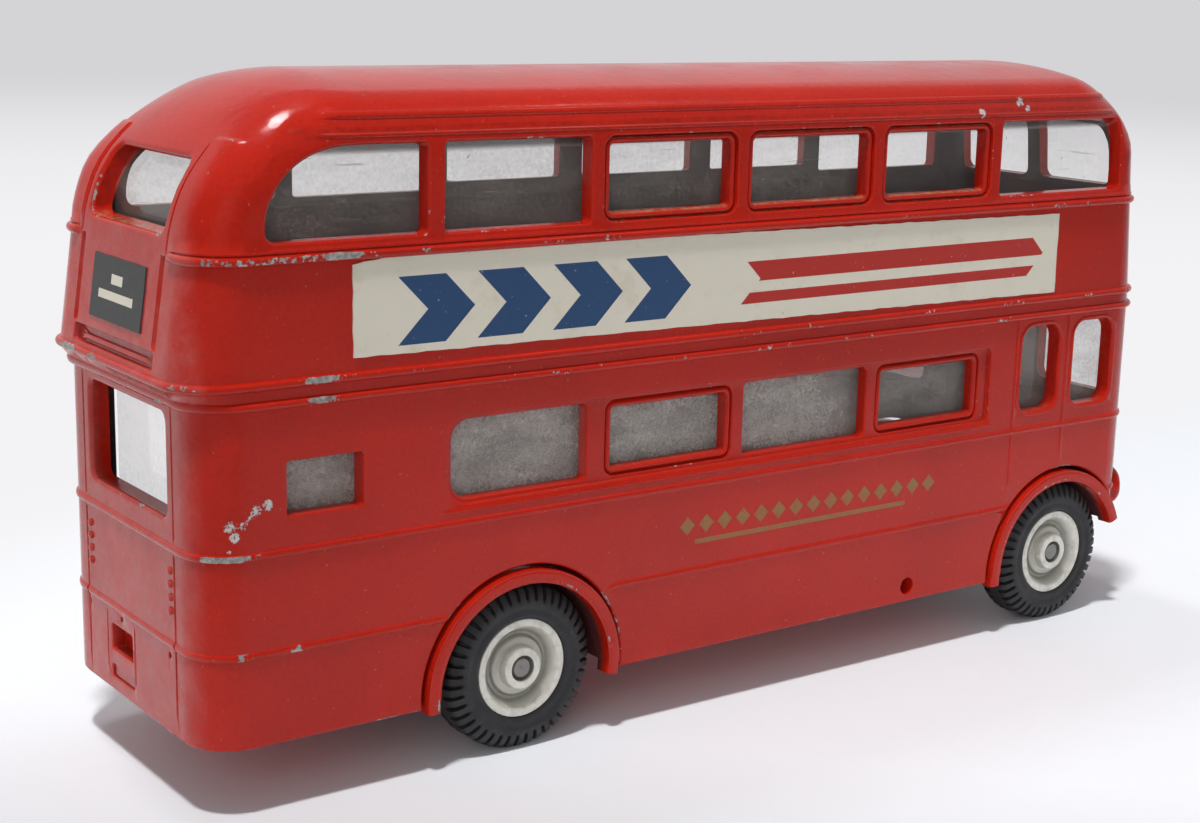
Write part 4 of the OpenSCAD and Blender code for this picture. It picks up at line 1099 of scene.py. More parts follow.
def body_openings(form, m):
    """Every opening of the outer face but the space over the bonnet."""
    plain, deep = plain_profile(m), round_edge(0.4) + [(0.06, THROUGH, 0.0)]
    sharp = round_edge(0.12, 3) + [(0.03, THROUGH, 0.0)]
    drilled = round_edge(0.1, 3) + [(0.02, THROUGH, 0.0)]
    dimple = round_edge(0.06, 2) + [(0.05, 0.35, 0.0)]
    rear, front = form.on_rear, form.on_front
    found = side_windows(form, m, -1) + side_windows(form, m, 1)
    found += [window(form.offside, *STAIR_PANE, sharp), window(form.nearside, *DOOR_OPENING, plain),
              window(rear, *REAR_UPPER_PANE, deep, form=form), window(rear, *REAR_LOWER_PANE, deep),
              window(rear, *REAR_POCKET, sunk_profile(REAR_POCKET_DEPTH), floor=True),
              window(rear, *TONGUE_SLOT, sharp),
              window(rear, *PLATE_POCKET, sunk_profile(PLATE_POCKET_DEPTH), floor=True),
              window(front, *FRONT_PANEL, sunk_profile(FRONT_PANEL_DEPTH), floor=True),
              window(front, *WINDSCREEN, plain), window(form.offside, *around(*SKIRT_HOLE), drilled)]
    found += [window(form.offside, *corners, raised_profile()) for corners in CAB_PANES]
    found += [window(front, *corners, plain) for corners in FRONT_PANES]
    return found + [window(rear, *around(*spot), dimple, floor=True) for spot in DIMPLES]


def lower_edge(form, m, inset):
    """Lower edge of the body as seen in s and z, drawn up by inset, with its arches."""
    r = m.guard_r + m.arch_gap + inset
    level, nose = SKIRT_Z + inset, m.nose_z + inset
    cz = m.guard_z
    foot = math.degrees(math.asin((level - cz) / r))
    lift = math.degrees(math.asin((nose - cz) / r))
    rear_x, front_x = AXLES["rear"][0], AXLES["front"][0]
    seam = math.degrees(math.acos((form.seam_x - rear_x) / r))

    def arc(x, start, end, side, steps=40):
        turn = np.radians(np.linspace(start, end, steps + 1))
        xs, zs = x + r * np.cos(turn), cz + r * np.sin(turn)
        return np.column_stack([form.side_s(xs, zs, side), zs])

    def run(start, end, z, count):
        s = np.linspace(start, end, count + 2)[1:-1]
        return np.column_stack([s, np.full(count, z)])

    first = arc(rear_x, seam, 180 - foot, 1, 12)
    first[0, 0] = 0.0
    rear_arch = arc(rear_x, 180 - foot, foot, -1)
    front_arch = arc(front_x, 180 - foot, lift, -1)
    near_front = arc(front_x, lift, 180 - foot, 1)
    last = arc(rear_x, foot, seam, 1, 30)
    last[-1, 0] = form.total
    return np.vstack([
        first, run(first[-1, 0], rear_arch[0, 0], level, 72), rear_arch,
        run(rear_arch[-1, 0], front_arch[0, 0], level, 12), front_arch,
        run(front_arch[-1, 0], near_front[0, 0], nose, 48), near_front,
        run(near_front[-1, 0], last[0, 0], level, 12), last])


# Height from which the roof is a plain grid, and radius of the body's lower lip
TOP_ROW, LIP_R = 54.0, 0.25
# Steps of the body's grid along a side, and along the parts of an end: sides, corners and face
SIDE_STEP, END_STEPS = 2.0, (1.3, 0.45, 1.6, 0.45, 1.3)
# Height of the grid's first row above the lower edge, heights up to which the rows keep a step, with the
# step, and the number of rows in the dome above them
FIRST_ROW, ROW_STEPS, DOME_ROWS = 2.0, ((42.0, 3.0), (52.0, 1.0), (56.5, 0.35)), 22
# Shares of a bead's half height and of an upright's half width at which the grid has a row or a column
BEAD_SHARES, UPRIGHT_SHARES = (-1, -0.9, -0.6, 0, 0.6, 0.9, 1), (-1, -0.85, -0.5, 0, 0.5, 0.85, 1)
# Heights where the uprights and pillars begin or end
UPRIGHT_ENDS = [37.0, 37.3, 52.9, 52.97, 53.05, 15.8, 16.1, 20.6, 20.9]


def body_columns(form, fine):
    """Values of s for the body's grid, closer where the plan is curved."""
    parts = []
    for k, (start, end) in enumerate(zip(form.marks[:-1], form.marks[1:])):
        if k in (0, 2, 4):
            parts.append(np.linspace(start, end, max(2, round((end - start) / SIDE_STEP)), endpoint=False))
            continue
        mid = (start + end) / 2
        bends = [start, mid - form.flat - form.corner, mid - form.flat, mid + form.flat,
                 mid + form.flat + form.corner, end]
        for (a, b), step in zip(zip(bends[:-1], bends[1:]), END_STEPS):
            parts.append(np.linspace(a, b, max(2, round((b - a) / step)), endpoint=False))
    columns = np.concatenate(parts)
    if fine:
        extra = []
        for mid, half, *_ in form.upright_rows:
            extra += [mid + half * t for t in UPRIGHT_SHARES]
        for side in (-1, 1):
            extra += [form.rear_mid + side * (form.PILLAR.inner + form.PILLAR.edge * t) for t in (0, 0.5, 1)]
        for _, _, _, stretch in form.bead_rows:
            if stretch:
                extra += [stretch[0], stretch[0] + stretch[2], stretch[1] - stretch[2], stretch[1]]
        extra = np.array([e for e in extra if 0 < e < form.total])
        columns = columns[[np.abs(extra - c).min() > 0.08 for c in columns]]
        columns = np.concatenate([columns, extra])
    columns = np.unique(np.round(columns, 4))
    columns = columns[(columns > 0.05) & (columns < form.total - 0.05)]
    return np.concatenate([[0.0], columns, [form.total]])


def body_rows(form, low, high, fine):
    """Heights for the body's grid, closer at the beads and where the side view is curved."""
    rows, start = [], low + FIRST_ROW
    for end, step in ROW_STEPS:
        rows += list(np.arange(start, end, step))
        start = end
    dome = np.arcsin(np.clip((np.array([start, ROOF_Z]) - form.rear.dome_z) / form.rear.dome_r, -1, 1))
    rows += list(form.rear.dome_z + form.rear.dome_r * np.sin(np.linspace(*dome, DOME_ROWS)))
    if fine:
        sharp = [mid + half * t for mid, half, _, _ in form.bead_rows for t in BEAD_SHARES]
        sharp += UPRIGHT_ENDS
        rows = [r for r in rows if min(abs(r - t) for t in sharp) > 0.12] + sharp
    rows = np.unique(np.round([r for r in rows if low < r < high], 3))
    return rows[np.diff(rows, prepend=low) > 0.02]


def notch_outline(form, margin):
    """Outline function of the space over the bonnet, seen in s and z."""
    front = form.front_mid + NOTCH.y - margin
    side = float(form.side_s(NOTCH.x - margin, 27.0, 1))
    low, high = NOTCH.low - margin, NOTCH.high + margin
    return lambda inset: pane((front, low), (side, high), (0.0,) * 4, inset, 1.0, 4)


def draw_notch(skin, form, margin, turned, windows):
    """Walls of the space over the bonnet: its floor, its ceiling, the bulkhead and the cab's nearside."""
    outline = notch_outline(form, margin)
    profile = [(0.0, margin)] if turned else [(a, b) for a, b, _ in round_edge(NOTCH.edge_r)]
    rings = []
    for inset, depth in profile:
        flat = outline(inset)
        deep = form.thickness(flat[:, 0]) if turned else np.full(len(flat), depth)
        rings.append(form.point(flat[:, 0], flat[:, 1], deep))
    count = len(rings[0])
    side = flipped if turned else list
    slot = 1 if turned else 0
    if len(rings) > 1:
        skin.add(np.vstack(rings), strips(len(rings), count, True), 0.4)
    flat, edge = outline(0.0), rings[-1]
    x, y = NOTCH.x - margin, NOTCH.y - margin
    low, high = NOTCH.low - margin, NOTCH.high + margin
    for z, reverse in ((low, False), (high, True)):
        row = edge[np.abs(flat[:, 1] - z) < 0.05]
        row = row[np.argsort(np.arctan2(row[:, 1] - y, row[:, 0] - x))]
        floor = np.vstack([row, [[x, y, z]]])
        faces = [list(range(len(floor)))]
        # Painted shade: the floor and the ceiling get a light mask
        skin.add(floor, flipped(faces) if reverse != turned else faces, 0.0, 0.2, slot)
    cab = Wall((0, y, 0), (-1, 0, 0), (0, -1, 0), form.m.wall)
    bulkhead = Wall((x, 0, 0), (0, 1, 0), (-1, 0, 0), form.m.wall)
    front = edge[:, 0].max()
    left = edge[:, 1].max()
    for wall, start, end, opening in ((cab, -front, -x, windows[0]), (bulkhead, y, left, windows[1])):
        k = len(opening.profile) - 1 if turned else 0
        outer = pane((start, low), (end, high), (0.0,) * 4, 0.0, 1.0, 1)
        points, faces = fill(outer, [opening.ring(k)], [], [])
        # Painted shade: the walls get a faint mask
        skin.add(wall.point(points[:, 0], points[:, 1], 0.0), side(faces), 0.0, 0.1, slot)
        if not turned:
            opening.draw(skin, wall)


# Windows beside the space over the bonnet: distance from its inner corner and from the face, heights, radius
NOTCH_PANE = SimpleNamespace(inner=1.9, outer=3.4, low=23.4, high=31.3, r=1.1)


def notch_windows(m):
    """Windows of the cab's nearside and of the bulkhead, drawn as those walls are seen."""
    plain, p = plain_profile(m), NOTCH_PANE
    same = lambda points: points
    cab = window(same, (-m.half_len + p.outer, p.low), (-NOTCH.x - p.inner, p.high), p.r, plain)
    bulkhead = window(same, (NOTCH.y + p.inner, p.low), (HALF_W - p.outer, p.high), p.r, plain)
    return cab, bulkhead


def raised(skin, form, place, outline, profile):
    """Adds a form that stands on the body's face. The outline takes how far it is drawn in, and the profile
    says how far in and how far out each of its rings is."""
    rings = []
    for inset, out in profile:
        ring = place(outline(inset))
        rings.append(form.stand(ring[:, 0], ring[:, 1], out))
    skin.add(np.vstack(rings), strips(len(rings), len(ring), True), 0.35)
    flat, faces = fill(ring, [], [], [])
    skin.add(form.stand(flat[:, 0], flat[:, 1], out), faces)


def disc(u, z, r):
    """Outline function of a circle."""
    return lambda inset: pane((u - r, z - r), (u + r, z + r), (r,) * 4, inset)


def torn(corners, step=1.1, size=0.05):
    """Outline through corners, with a slightly ragged edge."""
    corners, points = np.array(corners, float), []
    for a, b in zip(corners, np.roll(corners, -1, 0)):
        along = (b - a) / np.linalg.norm(b - a)
        count = max(2, round(np.linalg.norm(b - a) / step))
        for k in range(count):
            wave = size * math.sin(2.3 * k + a[0]) * math.sin(0.9 * k)
            points.append(a + (b - a) * k / count + wave * np.array((-along[1], along[0])))
    return lambda inset: np.array(points)


# Rings of small cast forms: how far in from the outline, and how far out from the face
HEADLAMP = ((0.0, -0.05), (0.0, 0.55), (0.08, 0.85), (0.3, 1.08), (0.5, 1.15), (0.6, 1.02), (0.75, 1.05),
            (1.2, 1.2), (1.7, 1.28))
GRILLE = ((0.0, -0.05), (0.0, 0.5), (0.06, 0.63), (0.2, 0.7), (0.65, 0.7), (0.78, 0.64), (0.85, 0.4))
SLAT = ((0.0, 0.38), (0.04, 0.58), (0.12, 0.64))
REAR_LAMP = ((0.0, -0.05), (0.02, 0.12), (0.1, 0.2), (0.22, 0.23))

# Radiator: corners and their radii; slats: middles, half width, and distance from its lower and upper edge
RADIATOR = (1.5, 11.0), (9.1, 20.4), (0.6, 0.6, 1.6, 1.6)
SLATS, SLAT_HALF, SLAT_ENDS = np.linspace(2.75, 7.85, 9), 0.17, (1.3, 1.4)
# Headlamps and rear lamps: distance from the middle, height or heights, and radius
HEADLAMPS = SimpleNamespace(y=10.7, z=12.7, r=2.1)
REAR_LAMPS = SimpleNamespace(y=8.1, z=(19.5, 18.4, 17.3, 16.2), r=0.34)


def cast_details(skin, form):
    """Radiator and headlamps on the front, and small lamps on the rear."""
    raised(skin, form, form.on_front, lambda inset: pane(*RADIATOR, inset), GRILLE)
    low, high = RADIATOR[0][1] + SLAT_ENDS[0], RADIATOR[1][1] - SLAT_ENDS[1]
    for y in SLATS:
        bar = (y - SLAT_HALF, low), (y + SLAT_HALF, high)
        raised(skin, form, form.on_front, lambda inset: pane(*bar, (0.15,) * 4, inset), SLAT)
    for side in (-1, 1):
        raised(skin, form, form.on_front, disc(side * HEADLAMPS.y, HEADLAMPS.z, HEADLAMPS.r), HEADLAMP)
        for z in REAR_LAMPS.z:
            raised(skin, form, form.on_rear, disc(side * REAR_LAMPS.y, z, REAR_LAMPS.r), REAR_LAMP)


def body_form(m):
    form = BodyForm(m)
    form.settle()
    return form


# Share of the wear that shows, what the rear adds, where that begins and its fade, and the lower lip's wear
WORN = SimpleNamespace(share=0.7, rear=0.35, x=-36.0, fade=8.0, lip=1.7)
# Painted shade under the roof's shoulders: height, fade, middle and half length, and amount
COVE = SimpleNamespace(z=52.85, fade=0.3, x=2.0, half=47.0, shade_and_grime=0.75)


def body_skin(m):
    """The whole cast body: outer face, edges of the openings, inside face and lower edge."""
    form, skin = body_form(m), Skin()
    openings = body_openings(form, m)
    windows = notch_windows(m)
    lip = round_edge(LIP_R, 4)
    rings = [lower_edge(form, m, -inset) for inset, _, _ in lip]
    for inner in (False, True):
        bottom = lower_edge(form, m, 0.0) if inner else rings[0]
        columns = body_columns(form, not inner)
        rows = body_rows(form, SKIRT_Z, TOP_ROW - 0.05, not inner)
        start, end = bottom[0, 1], bottom[-1, 1]
        right = np.column_stack([np.full(len(rows), form.total), rows])[rows > end + 0.1]
        left = np.column_stack([np.zeros(len(rows)), rows])[rows > start + 0.1][::-1]
        top = np.column_stack([columns, np.full(len(columns), TOP_ROW)])[::-1]
        outer = np.vstack([bottom, right, top, left])
        margin = m.wall if inner else 0.0
        notch = notch_outline(form, margin)(0.0 if inner else -NOTCH.edge_r)
        if inner:
            holes = [o.ring(-1) for opening in openings for o in opening.through()]
        else:
            holes = [o.ring(0) for o in openings]
        flat, faces = fill(outer, [*holes, notch], columns[1:-1], rows)
        s, z = flat[:, 0], flat[:, 1]
        deep = form.thickness(s) if inner else np.zeros(len(s))
        x = form.face(s, z)[:, 0]
        worn = form.relief(s, z)[1] * (WORN.share + WORN.rear * smooth((WORN.x - x) / WORN.fade))
        if inner:
            skin.add(form.face(s, z) - form.normal(s, z) * deep[:, None], flipped(faces), 0.0, 0.0, 1)
        else:
            # Painted shade in the cove under the roof's shoulders, which darkens the enamel there
            cove = smooth((z - COVE.z) / COVE.fade) * (np.abs(x - COVE.x) < COVE.half) * COVE.shade_and_grime
            skin.add(form.point(s, z), faces, worn, cove)
        heights = np.concatenate([[TOP_ROW], body_rows(form, TOP_ROW, ROOF_Z, not inner), [ROOF_Z]])
        s, z = np.meshgrid(columns, heights)
        lift = -form.thickness(s) if inner else form.relief(s, z)[0]
        cap = (form.face(s, z) + form.normal(s, z) * lift[..., None]).reshape(-1, 3)
        quads = strips(len(heights), len(columns), False)
        skin.add(cap, flipped(quads) if inner else quads, 0.0, 0.0, 1 if inner else 0)
    for opening in openings:
        opening.draw(skin, form)
    lips = []
    for (_, depth, _), ring in zip(lip, rings):
        lips.append(form.point(ring[:, 0], ring[:, 1], np.full(len(ring), depth)))
    last = rings[-1]
    s, z = last[:, 0], last[:, 1]
    lips.append(form.face(s, z) - form.normal(s, z) * form.thickness(s)[:, None])
    worn = np.repeat([WORN.lip * wear for _, _, wear in lip] + [0.0], len(last))
    skin.add(np.vstack(lips), flipped(strips(len(lips), len(last), False)), worn, 0.0)
    draw_notch(skin, form, 0.0, False, windows)
    draw_notch(skin, form, m.wall, True, windows)
    cast_details(skin, form)
    return skin


def lathe(skin, profile, turns, centre, side, shade_and_grime):
    """Adds a turned form about the axle: the profile gives radius and depth from the outer face."""
    angles = np.linspace(0, 2 * math.pi, turns, endpoint=False)
    rows = []
    for r, depth in profile:
        y = np.full(turns, side * (centre[1] - depth))
        rows.append(np.column_stack([centre[0] + r * np.cos(angles), y, centre[2] + r * np.sin(angles)]))
    faces = strips(len(rows), turns, True)
    skin.add(np.vstack(rows), faces if side > 0 else flipped(faces), 0.0, np.repeat(shade_and_grime, turns))


def rounded(corners, r=0.12, steps=3):
    """Profile through corner points, each rounded by r."""
    corners = [np.array(c, float) for c in corners]
    made = [corners[0]]
    for a, b, c in zip(corners[:-2], corners[1:-1], corners[2:]):
        back, on = a - b, c - b
        cut = min(r, 0.45 * np.linalg.norm(back), 0.45 * np.linalg.norm(on))
        start, end = b + back / np.linalg.norm(back) * cut, b + on / np.linalg.norm(on) * cut
        for t in np.linspace(0, 1, steps + 1):
            made.append((1 - t) ** 2 * start + 2 * t * (1 - t) * b + t ** 2 * end)
    return made + [corners[-1]]


def hub_skin(w, centre, side):
    """Dished hub with a bright rim, a step, and a boss round the axle's end."""
    skin = Skin()
    face = -node_box("rear_axle")[0][1]
    r, dish, boss = HUB_R, w.dish, w.boss_r
    bore = AXLE_R + 0.14
    corners = [(AXLE_R, 0.35), (bore, 0.2), (bore, -0.2), (boss, -0.2), (boss + 0.12, dish * 0.62),
               (2.55, dish * 0.66), (2.75, dish), (3.05, dish), (r - w.rim_w, 0.08),
               (r - w.rim_w + 0.12, -0.02), (r - 0.05, 0.0), (r, 0.1), (r, 4.1), (boss, 4.1), (boss, 4.35),
               (AXLE_R, 4.35), (AXLE_R, 0.35)]
    profile = rounded(corners, 0.13, 4)
    radii = np.array([p[0] for p in profile])
    depths = np.array([p[1] for p in profile])
    seen = depths < 2.0
    shade_and_grime = np.where(seen, smooth((depths - 0.1) / dish) * (radii < r - w.rim_w) * 0.95, 0.6)
    shade_and_grime = np.where((radii < bore + 0.02) & seen, 1.0, shade_and_grime)
    lathe(skin, profile, 96, (centre[0], face, centre[2]), side, shade_and_grime)
    return skin


# Grooves of a tyre: where they begin above the hub and end in from the face, with the fades, softness of
# their sides, how they lean, shares of their depth that go down and inward, and how far from the face they
# go inward
TREAD = SimpleNamespace(start=1.5, start_fade=0.8, end=1.45, end_fade=0.2, soft=0.1, lean=0.35, down=0.9,
                        inward=0.45, inward_end=1.0, inward_fade=0.8)


def tyre_skin(w, centre, side):
    """Rubber tyre with lugs across both shoulders, cut by rounded grooves."""
    skin = Skin()
    r, wide, inner = TYRE_R, TYRE_W, HUB_R
    half = [(inner, 0.6), (inner + 0.02, 0.28), (inner + 0.16, 0.1), (inner + 0.4, 0.06),
            (inner + 0.75, 0.12), (inner + 0.95, 0.1), (inner + 1.15, 0.0), (inner + 1.5, 0.0),
            (inner + 1.75, 0.03), (inner + 1.95, 0.09), (inner + 2.15, 0.18), (r - 0.6, 0.3),
            (r - 0.36, 0.44), (r - 0.18, 0.62), (r - 0.06, 0.86), (r, 1.12), (r - 0.01, 1.35),
            (r - 0.03, 1.52), (r - 0.08, 1.66), (r - 0.1, 1.95)]
    profile = half + [(a, wide - b) for a, b in half[::-1]]
    share = w.groove_share / 2
    cuts = np.array([0, 0.12, 0.5 - share - 0.06, 0.5 - share, 0.5 - share + 0.05, 0.5 - share + 0.1, 0.5,
                     0.5 + share - 0.1, 0.5 + share - 0.05, 0.5 + share, 0.5 + share + 0.06, 0.88])
    turn = np.concatenate([(k + cuts) / w.lug_count for k in range(w.lug_count)])
    phase = np.mod(turn * w.lug_count, 1.0)
    rows = []
    for radius, depth in profile:
        outer_side = depth < wide / 2
        from_face = depth if outer_side else wide - depth
        shift = 0.0 if outer_side else 0.5
        gap = np.abs(np.mod(phase + shift, 1.0) - 0.5)
        cut = smooth((share - gap) / TREAD.soft)
        reach = smooth((radius - inner - TREAD.start) / TREAD.start_fade)
        reach *= 1 - smooth((from_face - TREAD.end) / TREAD.end_fade)
        drop = w.lug_depth * cut * reach
        way = 1 if outer_side else -1
        angles = 2 * math.pi * turn
        rr = radius - drop * TREAD.down
        push = drop * TREAD.inward * smooth((TREAD.inward_end - from_face) / TREAD.inward_fade) * way
        lean = TREAD.lean * reach * way / w.lug_count
        rows.append(np.column_stack([centre[0] + rr * np.cos(angles + lean), side * (TYRE_OUT - depth - push),
                                     centre[2] + rr * np.sin(angles + lean)]))
    faces = strips(len(rows), len(turn), True)
    skin.add(np.vstack(rows), faces if side > 0 else flipped(faces))
    return skin


# Lip of a mudguard: how far it covers the cast one on its face and around it, depth, rounding and steps
GUARD_LIP = SimpleNamespace(face=0.05, around=0.03, depth=1.7, r=0.42, steps=65)


def guard_skin(m, centre, side, front):
    """Rounded lip of a mudguard round a wheel."""
    skin = Skin()
    lip = GUARD_LIP
    out, steps, deep = GUARD_OUT + lip.face, lip.steps, lip.depth
    r_out, r_in = m.guard_r + lip.around, m.guard_r - m.guard_t - lip.around
    profile = rounded([(r_in, deep), (r_in, 0.0), (r_out, 0.0), (r_out, deep)], lip.r, 6)
    profile.append((r_in, deep))
    cz = m.guard_z
    foot = math.asin((node_box("chassis_base")[0][2] - 0.02 - cz) / m.guard_r)
    lift = math.asin((m.nose_z + 0.02 - cz) / m.guard_r) if front else foot
    angles = np.linspace(lift, math.pi - foot, steps)
    rows, worn = [], []
    for radius, depth in profile:
        y = np.full(steps, side * (out - depth))
        rows.append(np.column_stack([centre[0] + radius * np.cos(angles), y, cz + radius * np.sin(angles)]))
        worn.append(np.full(steps, 0.85 if depth < 0.25 and radius < r_in + 0.3 else 0.35 * (depth < 0.2)))
    grid = np.vstack(rows)
    faces = strips(len(rows), steps, False)
    count = len(rows) - 1
    faces += [[k * steps for k in range(count)], [k * steps - 1 for k in range(count, 0, -1)]]
    skin.add(grid, faces if side > 0 else flipped(faces), np.concatenate(worn), 0.0)
    return skin


# Operators

def material(context, maker):
    """The material of a maker function, made once."""
    key = "made_" + maker.__name__
    name = context.scene.get(key)
    if name is None:
        name = maker(context.scene.bus_finishes).name
        context.scene[key] = name
    return bpy.data.materials[name]


def seat(piece, body, slot, *nodes):
    """Makes a piece ride on a body and stand for frame nodes, which it hides. The slot is not used."""
    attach(piece, body)
    if nodes:
        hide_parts(*nodes)
    return piece


class BUS_OT_body(bpy.types.Operator):
    """Makes the painted cast body"""
    bl_idname = "bus.body"
    bl_label = "Body"

    def execute(self, context):
        m = millimetres(context.scene.bus_body)
        skin = body_skin(m)
        piece = skin.build("cast_body", [material(context, stoved_enamel), material(context, raw_casting)])
        seat(piece, "bus", "red_enamel", "body_shell")
        return {"FINISHED"}


class BUS_OT_base(bpy.types.Operator):
    """Finishes the cast base and rounds its mudguards"""
    bl_idname = "bus.base"
    bl_label = "Base and mudguards"

    def execute(self, context):
        m = millimetres(context.scene.bus_body)
        enamel = material(context, stoved_enamel)
        dress("chassis_base", enamel)
        for end in ("rear", "front"):
            for name, side in (("right", -1), ("left", 1)):
                skin = guard_skin(m, AXLES[end], side, end == "front")
                seat(skin.build(f"{end}_{name}_mudguard_lip", [enamel]), "bus", "base_enamel")
        return {"FINISHED"}


def dress(node, finish):
    """Gives a frame node its finish."""
    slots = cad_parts[node].data.materials
    slots.clear()
    slots.append(finish)


class BUS_OT_glazing(bpy.types.Operator):
    """Finishes the clear mouldings behind the windows"""
    bl_idname = "bus.glazing"
    bl_label = "Glazing"

    def execute(self, context):
        for node in ("upper_glazing", "lower_glazing"):
            dress(node, material(context, clear_moulding))
        return {"FINISHED"}


class BUS_OT_wheels(bpy.types.Operator):
    """Makes the hubs and tyres and finishes the axles and the rivet"""
    bl_idname = "bus.wheels"
    bl_label = "Wheels"

    def execute(self, context):
        w = millimetres(context.scene.bus_wheels)
        alloy, rubber = material(context, turned_alloy), material(context, moulded_rubber)
        for end in ("rear", "front"):
            for name, side in (("right", -1), ("left", 1)):
                wheel = f"{end}_{name}"
                hub = hub_skin(w, AXLES[end], side).build(f"{wheel}_dished_hub", [alloy])
                seat(hub, f"{end}_wheels", "hub_alloy", f"{wheel}_hub")
                tyre = tyre_skin(w, AXLES[end], side).build(f"{wheel}_lugged_tyre", [rubber], 60)
                seat(tyre, f"{end}_wheels", "tyre_rubber", f"{wheel}_tyre")
        for node in ("rear_axle", "front_axle", "front_rivet"):
            dress(node, material(context, drawn_steel))
        return {"FINISHED"}


# Corners of the labels as they are seen from outside
SIDE_LABEL = {-1: ((-40.7, 36.2), (39.65, 35.4), (39.6, 43.35), (-20.0, 44.0), (-33.0, 44.2), (-36.6, 44.15),
                   (-37.6, 43.95), (-40.75, 43.5)),
              1: ((-40.1, 35.5), (40.1, 35.5), (40.1, 43.4), (-40.1, 43.4))}
END_LABEL = ((-4.9, 37.9), (5.3, 37.9), (5.3, 43.0), (-4.9, 43.0))
# Gold rule and lozenges: ends and heights of the rule, middles of the lozenges, their height and half size
RULE_X, RULE_Z = np.array((-5.9, 20.3)), (15.8, 16.25)
LOZENGE_X, LOZENGE_Z, LOZENGE_R = np.linspace(-6.8, 23.4, 15), 17.6, 0.85
# How far a paper label and a transfer reach in and out of the face
PAPER = ((0.0, -0.03), (0.0, 0.12))
TRANSFER = ((0.0, -0.02), (0.0, 0.025))


class BUS_OT_labels(bpy.types.Operator):
    """Makes the paper labels and the gold rules"""
    bl_idname = "bus.labels"
    bl_label = "Labels"

    def execute(self, context):
        m = millimetres(context.scene.bus_body)
        form = body_form(m)
        for name, side, place in (("right", -1, form.offside), ("left", 1, form.nearside)):
            skin = Skin()
            raised(skin, form, place, torn(SIDE_LABEL[side]), PAPER)
            piece = skin.build(f"{name}_paper_label", [material(context, printed_paper)])
            seat(piece, "bus", "cream_label", f"{name}_side_label")
            skin = Skin()
            rule = list(zip(sorted(-side * RULE_X), RULE_Z))
            raised(skin, form, place, lambda inset: pane(*rule, (0.1,) * 4, inset), TRANSFER)
            for x in -side * LOZENGE_X:
                corners = [(x - LOZENGE_R, LOZENGE_Z), (x, LOZENGE_Z - LOZENGE_R), (x + LOZENGE_R, LOZENGE_Z),
                           (x, LOZENGE_Z + LOZENGE_R)]
                raised(skin, form, place, lambda inset: np.array(corners), TRANSFER)
            piece = skin.build(f"{name}_gold_transfer", [material(context, gold_transfer)])
            seat(piece, "bus", "red_enamel")
        for name, place, depth in (("rear", form.on_rear, 0.0), ("front", form.on_front, FRONT_PANEL_DEPTH)):
            skin = Skin()
            sunk = [(inset, out - depth) for inset, out in PAPER]
            raised(skin, form, place, torn(END_LABEL, 0.9, 0.03), sunk)
            piece = skin.build(f"{name}_dark_label", [material(context, printed_charcoal)])
            seat(piece, "bus", "dark_label", f"{name}_destination_label")
        return {"FINISHED"}


# Lamps: place and size in millimetres, the point that they face, and the spark's share of the glint's power
KEY_LAMP = (-190, -145, 900), (70, 70)
FILL_LAMP = (-780, -780, 400), (700, 700)
GLINT_LAMP = (-70, 330, 860), (70, 200)
SPARK_LAMP = (470, -100, 760), (60, 60)
LAMP_AIM = 0, 0, 20
SPARK_SHARE = 1 / 16
# Half width of the floor in millimetres, width of the camera's sensor in mm, and what it sees, in metres
FLOOR_HALF, SENSOR, SIGHT = 16000.0, 36, (0.01, 60)


def light(name, place, size, power, mirrored):
    """Lamp at a place, turned towards the bus, of a size across and along in millimetres."""
    lamp = bpy.data.lights.new(name, "AREA")
    lamp.shape, lamp.size, lamp.size_y, lamp.energy = "RECTANGLE", size[0] * MM, size[1] * MM, power
    made = bpy.data.objects.new(name, lamp)
    bpy.context.scene.collection.objects.link(made)
    made.location = Vector(place) * MM
    made.rotation_euler = (Vector(LAMP_AIM) - Vector(place)).to_track_quat("-Z", "Y").to_euler()
    made.visible_glossy = mirrored


def paper_floor(finishes):
    """Matt pale paper sheet, which runs out of the light towards the camera and far off."""
    made, tree = new_material("matt_paper_floor")
    at = add(tree, "object_place")
    stage = bpy.context.scene.bus_stage
    grain = add(tree, "ramp", add(tree, "noise", at, blobs(4.0), 4.0, 0.55, 0.0), 0.3, 0.7, 0.0, 0.04)
    base = add(tree, "blend", grain, rgba(finishes.sheet), rgba(finishes.sheet_grain))
    ahead = add(tree, "split", at, output="Y")
    toward = add(tree, "dot", at, (0.7, 0.714, 0.0))
    unlit = add(tree, "MAXIMUM", add(tree, "slope", toward, -24 * MM, -110 * MM),
                add(tree, "slope", ahead, -50 * MM, -200 * MM))
    base = add(tree, "blend", unlit, base, rgba(finishes.sheet_unlit))
    paper = add(tree, "principled", Base_Color=base, Roughness=0.8)
    gap = add(tree, "distance", at, (0.0, 0.0, 0.0))
    grey = (stage.far, stage.far * 0.985, stage.far * 1.015, 1.0)
    pale = add(tree, "blend", add(tree, "ramp", gap, 250 * MM, 1100 * MM), rgba(finishes.sheet_far), grey)
    seen = 0.0
    for ray in ("Is Camera Ray", "Is Glossy Ray", "Is Transmission Ray"):
        seen = add(tree, "MAXIMUM", seen, add(tree, "ray", output=ray))
    beyond = add(tree, "MULTIPLY", add(tree, "ramp", gap, 50 * MM, 100 * MM),
                 add(tree, "ramp", ahead, 30 * MM, 60 * MM))
    share = add(tree, "MULTIPLY", beyond, seen)
    add(tree, "output", add(tree, "either", share, paper, add(tree, "emission", pale, 1.0)))
    return made


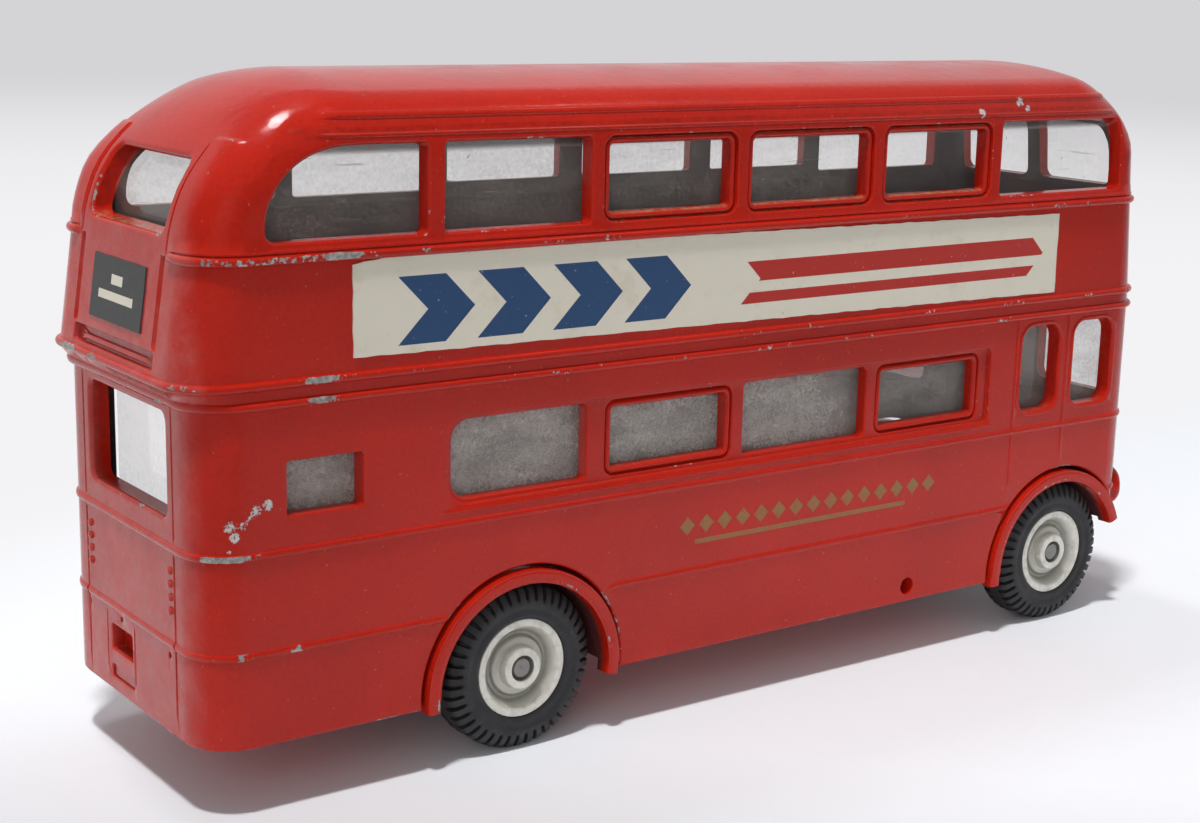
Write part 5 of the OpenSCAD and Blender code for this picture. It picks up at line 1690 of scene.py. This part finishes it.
def room_light(stage):
    """World light: a bright backdrop up to a limit, a dimmer ceiling, and a dim room behind the camera."""
    world = bpy.data.worlds.new("soft_room")
    world.use_nodes = True
    tree = world.node_tree
    tree.nodes.clear()
    toward = add(tree, "direction")
    ahead = add(tree, "dot", toward, (math.sin(stage.heading), math.cos(stage.heading), 0.0))
    wall = add(tree, "ramp", ahead, -0.35, 0.35, stage.room, stage.backdrop)
    ceiling = add(tree, "ramp", add(tree, "split", toward, output="Z"), 0.56, 0.62)
    down = add(tree, "MULTIPLY", add(tree, "SUBTRACT", stage.sky, wall), ceiling)
    lit = add(tree, "background", rgba(stage.tint), add(tree, "ADD", wall, down))
    add(tree, "world_output", lit)
    return world


class BUS_OT_stage(bpy.types.Operator):
    """Makes the floor, the light and the camera"""
    bl_idname = "bus.stage"
    bl_label = "Stage"

    def execute(self, context):
        scene, stage = context.scene, context.scene.bus_stage
        scene.view_settings.view_transform = "Standard"
        skin = Skin()
        corners = (-1, -1, 0), (1, -1, 0), (1, 1, 0), (-1, 1, 0)
        skin.add(np.array(corners) * FLOOR_HALF, [[0, 1, 2, 3]])
        floor = skin.build("floor", [material(context, paper_floor)])
        scene.world = room_light(stage)
        light("key", *KEY_LAMP, stage.key, False)
        light("fill", *FILL_LAMP, stage.fill, False)
        light("glint", *GLINT_LAMP, stage.glint, True)
        light("spark", *SPARK_LAMP, stage.glint * SPARK_SHARE, True)
        lens = bpy.data.cameras.new("camera")
        lens.lens, lens.sensor_width = stage.lens, SENSOR
        lens.clip_start, lens.clip_end = SIGHT
        camera = bpy.data.objects.new("camera", lens)
        scene.collection.objects.link(camera)
        turn = Matrix.Rotation(-stage.heading, 4, "Z") @ Matrix.Rotation(math.pi / 2 - stage.pitch, 4, "X")
        place = Matrix.Translation(Vector(CAMERA_AT) * MM)
        camera.matrix_world = place @ turn @ Matrix.Rotation(stage.roll, 4, "Z")
        scene.camera = camera
        return {"FINISHED"}


OPERATORS = (BUS_OT_body, BUS_OT_base, BUS_OT_glazing, BUS_OT_wheels, BUS_OT_labels, BUS_OT_stage)


class BUS_PT_pieces(bpy.types.Panel):
    """Lists the operators that make the bus"""
    bl_idname = "BUS_PT_pieces"
    bl_label = "Toy bus"
    bl_space_type = "VIEW_3D"
    bl_region_type = "UI"
    bl_category = "Toy bus"

    def draw(self, context):
        for operator in OPERATORS:
            self.layout.operator(operator.bl_idname)
        for group in GROUPS:
            box = self.layout.box()
            values = getattr(context.scene, group)
            for key in values.bl_rna.properties.keys():
                if key not in ("rna_type", "name"):
                    box.prop(values, key)


GROUPS = {"bus_body": BusBodySizes, "bus_wheels": BusWheelSizes, "bus_finishes": BusFinishes,
          "bus_stage": BusStage}
CLASSES = (*GROUPS.values(), *OPERATORS, BUS_PT_pieces)


def register():
    for made in CLASSES:
        bpy.utils.register_class(made)
    for key, made in GROUPS.items():
        setattr(bpy.types.Scene, key, PointerProperty(type=made))


def unregister():
    for key in GROUPS:
        delattr(bpy.types.Scene, key)
    for made in reversed(CLASSES):
        bpy.utils.unregister_class(made)


def main():
    register()
    for operator in OPERATORS:
        group, name = operator.bl_idname.split(".")
        getattr(getattr(bpy.ops, group), name)()


if __name__ == "__main__":
    main()
